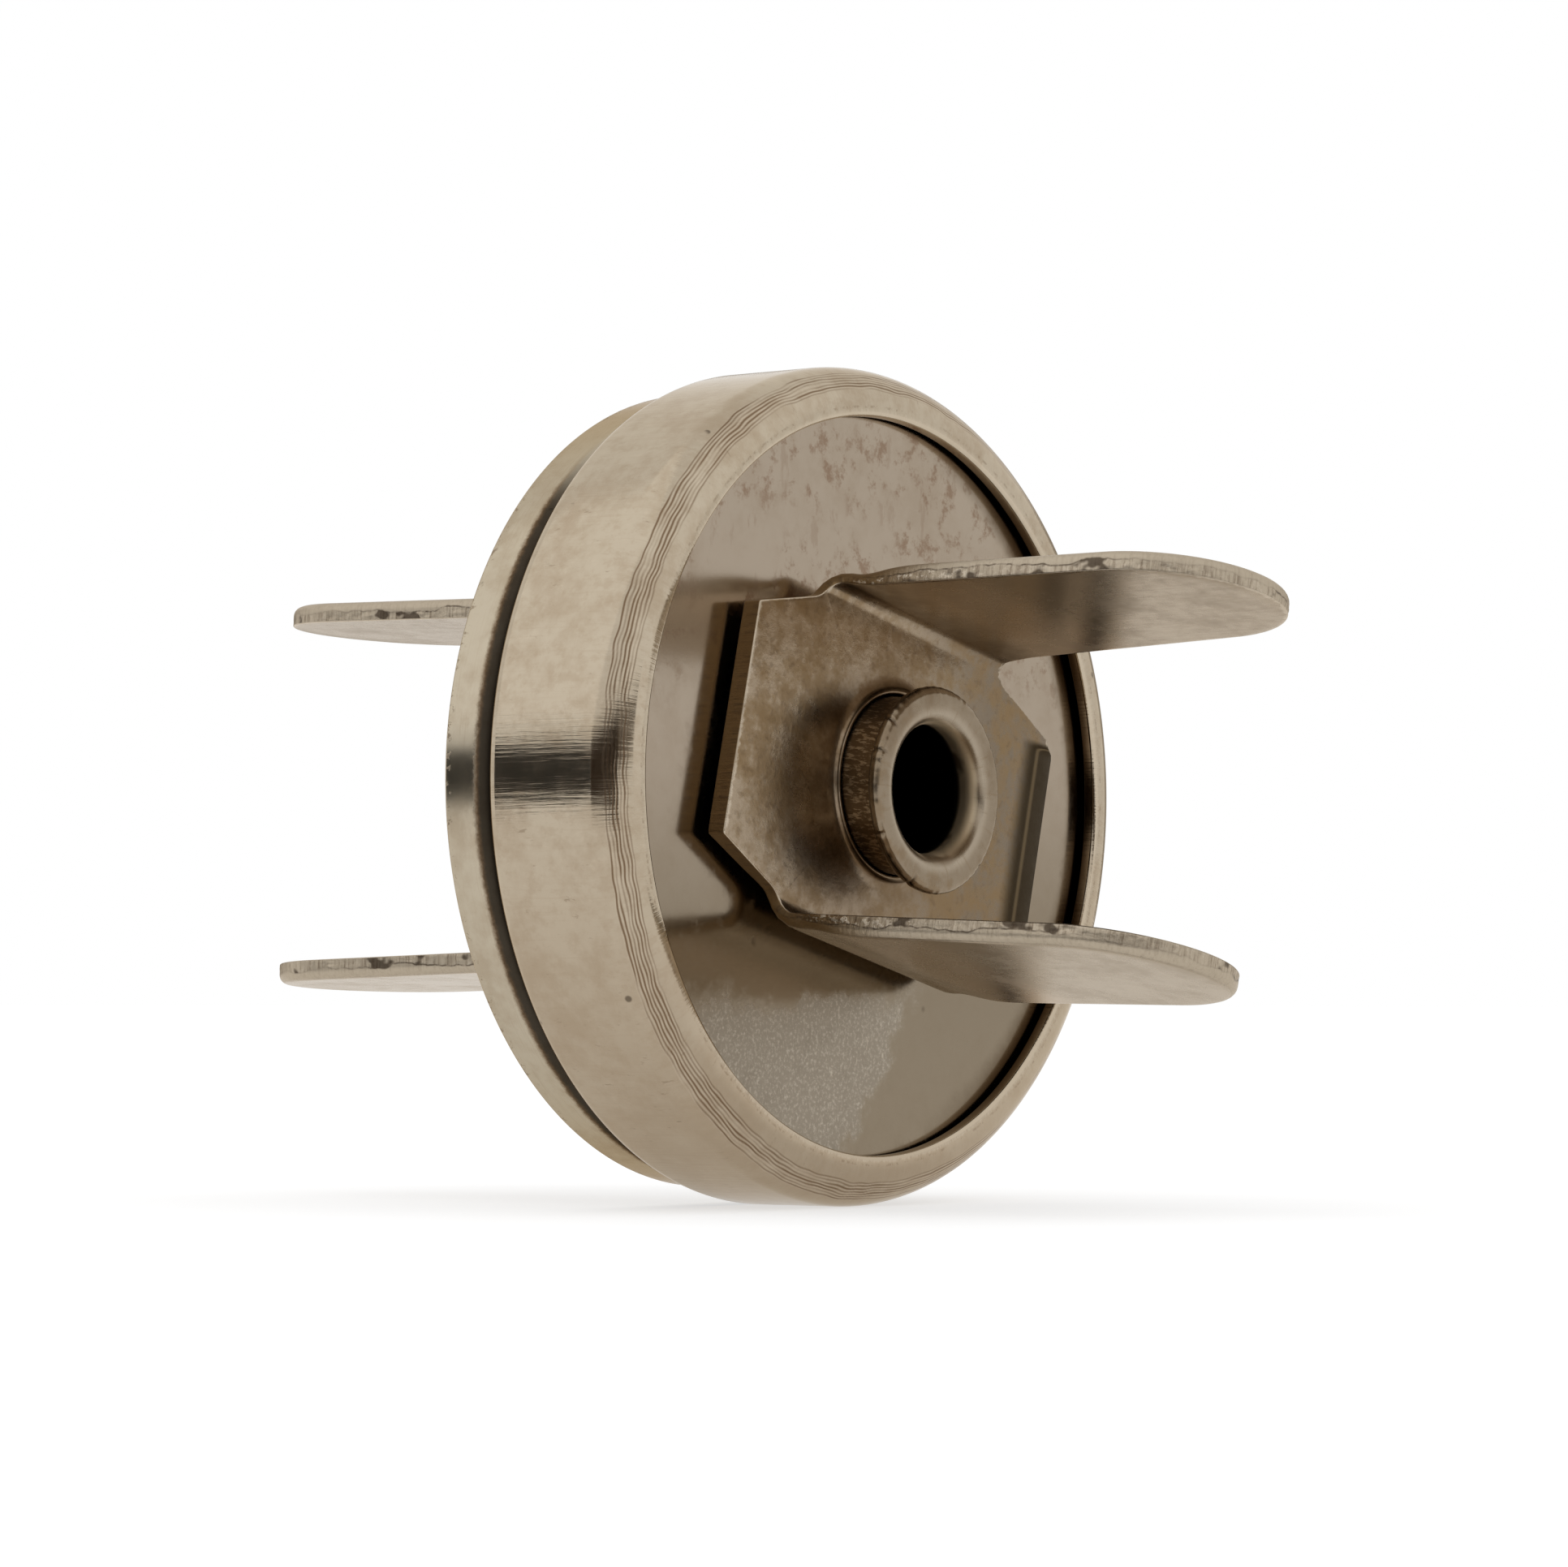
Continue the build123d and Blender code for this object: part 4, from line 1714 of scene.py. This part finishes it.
@dataclass
class Studio:
    """A plain pale floor, plain soft light, cards for the polish to mirror, and the camera."""

    lens: float = 127.25
    camera_place: Triple = (0.07116, -0.09440, -0.00453)
    camera_aim: Triple = (-0.617, 0.786, 0.0386)
    floor_half_width: float = 2.0
    floor_grey: Colour = (0.5, 0.5, 0.5)
    floor_glow: float = 0.60
    air_light: float = 0.88
    air_seen: float = 1.0

    @staticmethod
    def put_up(
        name: str, points: Array, faces: Faces, material: bpy.types.Material
    ) -> bpy.types.Object:
        """Puts a thing of the studio into the scene.

        Args:
            name: Its name.
            points: Its points in metres, in the last axis.
            faces: The numbers of its faces' corners.
            material: What it is made of.

        Returns:
            The new object.
        """
        mesh = bpy.data.meshes.new(name)
        mesh.from_pydata(points.reshape(-1, 3).tolist(), [], faces.tolist())
        mesh.materials.append(material)
        made = bpy.data.objects.new(name, mesh)
        bpy.context.scene.collection.objects.link(made)
        return made

    @staticmethod
    def matt(name: str, colour: Colour, glow: float = 0.0) -> bpy.types.Material:
        """A matt paint.

        Args:
            name: Its name.
            colour: Its colour.
            glow: White light that it adds for rays that see it, or 0 for none.

        Returns:
            The material.
        """
        material, tree = fresh_material(name)
        paint = tree.nodes.new("ShaderNodeBsdfDiffuse")
        paint.inputs["Color"].default_value = (*colour, 1.0)
        surface = paint.outputs[0]
        if glow:
            share = tree.nodes.new("ShaderNodeMath")
            share.operation = "MULTIPLY"
            share.inputs[1].default_value = glow
            tree.links.new(Studio.seen_rays(tree), share.inputs[0])
            light = tree.nodes.new("ShaderNodeEmission")
            light.inputs["Color"].default_value = WHITE
            tree.links.new(share.outputs[0], light.inputs["Strength"])
            both = tree.nodes.new("ShaderNodeAddShader")
            tree.links.new(surface, both.inputs[0])
            tree.links.new(light.outputs[0], both.inputs[1])
            surface = both.outputs[0]
        end = tree.nodes.new("ShaderNodeOutputMaterial")
        tree.links.new(surface, end.inputs["Surface"])
        return material

    @staticmethod
    def seen_rays(tree: bpy.types.NodeTree) -> Socket:
        """1 for rays from the camera and for mirrored and bent rays, else 0.

        Args:
            tree: The nodes that it is added to.

        Returns:
            The switch.
        """
        path = tree.nodes.new("ShaderNodeLightPath")
        seen = path.outputs["Is Camera Ray"]
        for kind in ("Is Glossy Ray", "Is Transmission Ray"):
            either = tree.nodes.new("ShaderNodeMath")
            either.operation = "MAXIMUM"
            tree.links.new(seen, either.inputs[0])
            tree.links.new(path.outputs[kind], either.inputs[1])
            seen = either.outputs[0]
        return seen

    def floor(self) -> None:
        """A flat pale floor under the snap's lowest point, which keeps the snap's shadow."""
        sides = np.linspace(-self.floor_half_width, self.floor_half_width, 9)
        x, y = np.meshgrid(sides, sides, indexing="ij")
        points = np.stack([x, y, np.full_like(x, LOWEST_POINT * METRES_PER_MM)], axis=-1)
        faces = grid_faces(*x.shape, False, False)[:, ::-1]
        paint = self.matt("pale_floor", self.floor_grey, self.floor_glow)
        self.put_up("floor", points, faces, paint)

    def air(self) -> None:
        """Even white light from all round, and white behind the snap."""
        world = bpy.data.worlds.new("studio")
        bpy.context.scene.world = world
        world.use_nodes = True
        tree = world.node_tree
        tree.nodes.clear()
        level = tree.nodes.new("ShaderNodeMapRange")
        tree.links.new(self.seen_rays(tree), level.inputs["Value"])
        level.inputs["To Min"].default_value = self.air_light
        level.inputs["To Max"].default_value = self.air_seen
        glow = tree.nodes.new("ShaderNodeBackground")
        glow.inputs["Color"].default_value = WHITE
        tree.links.new(level.outputs["Result"], glow.inputs["Strength"])
        end = tree.nodes.new("ShaderNodeOutputWorld")
        tree.links.new(glow.outputs[0], end.inputs["Surface"])

    @staticmethod
    def lamp(lamp: Lamp) -> None:
        """Hangs one lamp and aims it at the snap.

        Args:
            lamp: Its place, width and power.
        """
        light = bpy.data.lights.new(lamp.name, "AREA")
        light.shape = "SQUARE"
        light.size = lamp.width
        light.energy = lamp.power
        made = bpy.data.objects.new(lamp.name, light)
        made.location = lamp.place
        made.rotation_euler = (-Vector(lamp.place)).to_track_quat("-Z", "Y").to_euler()
        bpy.context.scene.collection.objects.link(made)

    def card(self, card: Card) -> None:
        """Stands one card up: a piece of an upright cylinder round the snap.

        Args:
            card: Where it stands, its size and its colour.
        """
        sides = (np.linspace(0.0, 1.0, 17), np.linspace(0.0, 1.0, 5))
        across, rise = np.meshgrid(*sides, indexing="ij")
        angle, foot, top = (
            ends[0] + across * (ends[1] - ends[0])
            for ends in (np.radians(card.bearings), card.feet, card.tops)
        )
        x, y = card.distance * np.cos(angle), card.distance * np.sin(angle)
        points = np.stack([x, y, foot + rise * (top - foot)], axis=-1)
        faces = grid_faces(*x.shape, False, False)
        made = self.put_up(card.name, points, faces, self.matt(card.name, card.colour))
        made.visible_camera = made.visible_shadow = made.visible_diffuse = False

    def camera(self) -> None:
        """The camera at the photograph's viewing angle."""
        data = bpy.data.cameras.new("camera")
        data.sensor_fit = "HORIZONTAL"
        data.sensor_width = 36.0
        data.lens = self.lens
        data.clip_start = 0.01
        made = bpy.data.objects.new("camera", data)
        made.location = self.camera_place
        made.rotation_euler = Vector(self.camera_aim).to_track_quat("-Z", "Y").to_euler()
        bpy.context.scene.collection.objects.link(made)
        bpy.context.scene.camera = made

    def build(self) -> None:
        """Sets the studio up."""
        bpy.context.scene.view_settings.view_transform = "Standard"
        self.camera()
        self.air()
        self.floor()
        for card in CARDS:
            self.card(card)
        for lamp in LAMPS:
            self.lamp(lamp)


def main() -> None:
    """Builds the studio and the snap's pieces in order."""
    logging.basicConfig(level=logging.INFO, format="%(name)s: %(message)s")
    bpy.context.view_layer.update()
    Studio().build()
    MagnetCup().build()
    TubularRivet(
        name="magnet_rivet",
        node="female_rivet",
        body=Body.MAGNET_HALF,
        head=[(-2.25, 0.0), (-2.25, 2.9), (-1.45, 2.9), (-1.45, 1.9)],
        head_rounds=[0.0, 0.12, 0.06, 0.04],
        face_x=0.0,
        direction=1.0,
        bore_bottom_x=-1.45,
        lean=(-0.34, -0.17),
    ).build()
    ProngPlate(
        name="magnet_prongs",
        node="female_prong_plate",
        body=Body.MAGNET_HALF,
        back_x=-0.45,
        direction=1.0,
        turn=14.0,
        leg_height=9.4,
        twists=(1.9, 0.0),
        twist_pivots=(0.85, 0.0),
    ).build()
    disc = SeatedPlate(-3.9, -5.1, -5.3, 8.65, (0.3, 0.08)).piece("stud_disc")
    settle(disc, DISC_FINISH.material(), Body.STUD_HALF, "male_disc")
    TubularRivet(
        name="stud",
        node="male_stud",
        body=Body.STUD,
        head=[(-2.35, 0.0), (-2.35, 2.8), (-3.85, 2.8), (-3.85, 1.9)],
        head_rounds=[0.0, 0.5, 0.04, 0.04],
        face_x=-5.75,
        direction=-1.0,
        bore_bottom_x=-4.65,
    ).build()
    ProngPlate(
        name="stud_prongs",
        node="male_prong_plate",
        body=Body.STUD_HALF,
        back_x=-5.3,
        direction=-1.0,
        turn=3.0,
        leg_height=11.4,
    ).build()


if __name__ == "__main__":
    main()
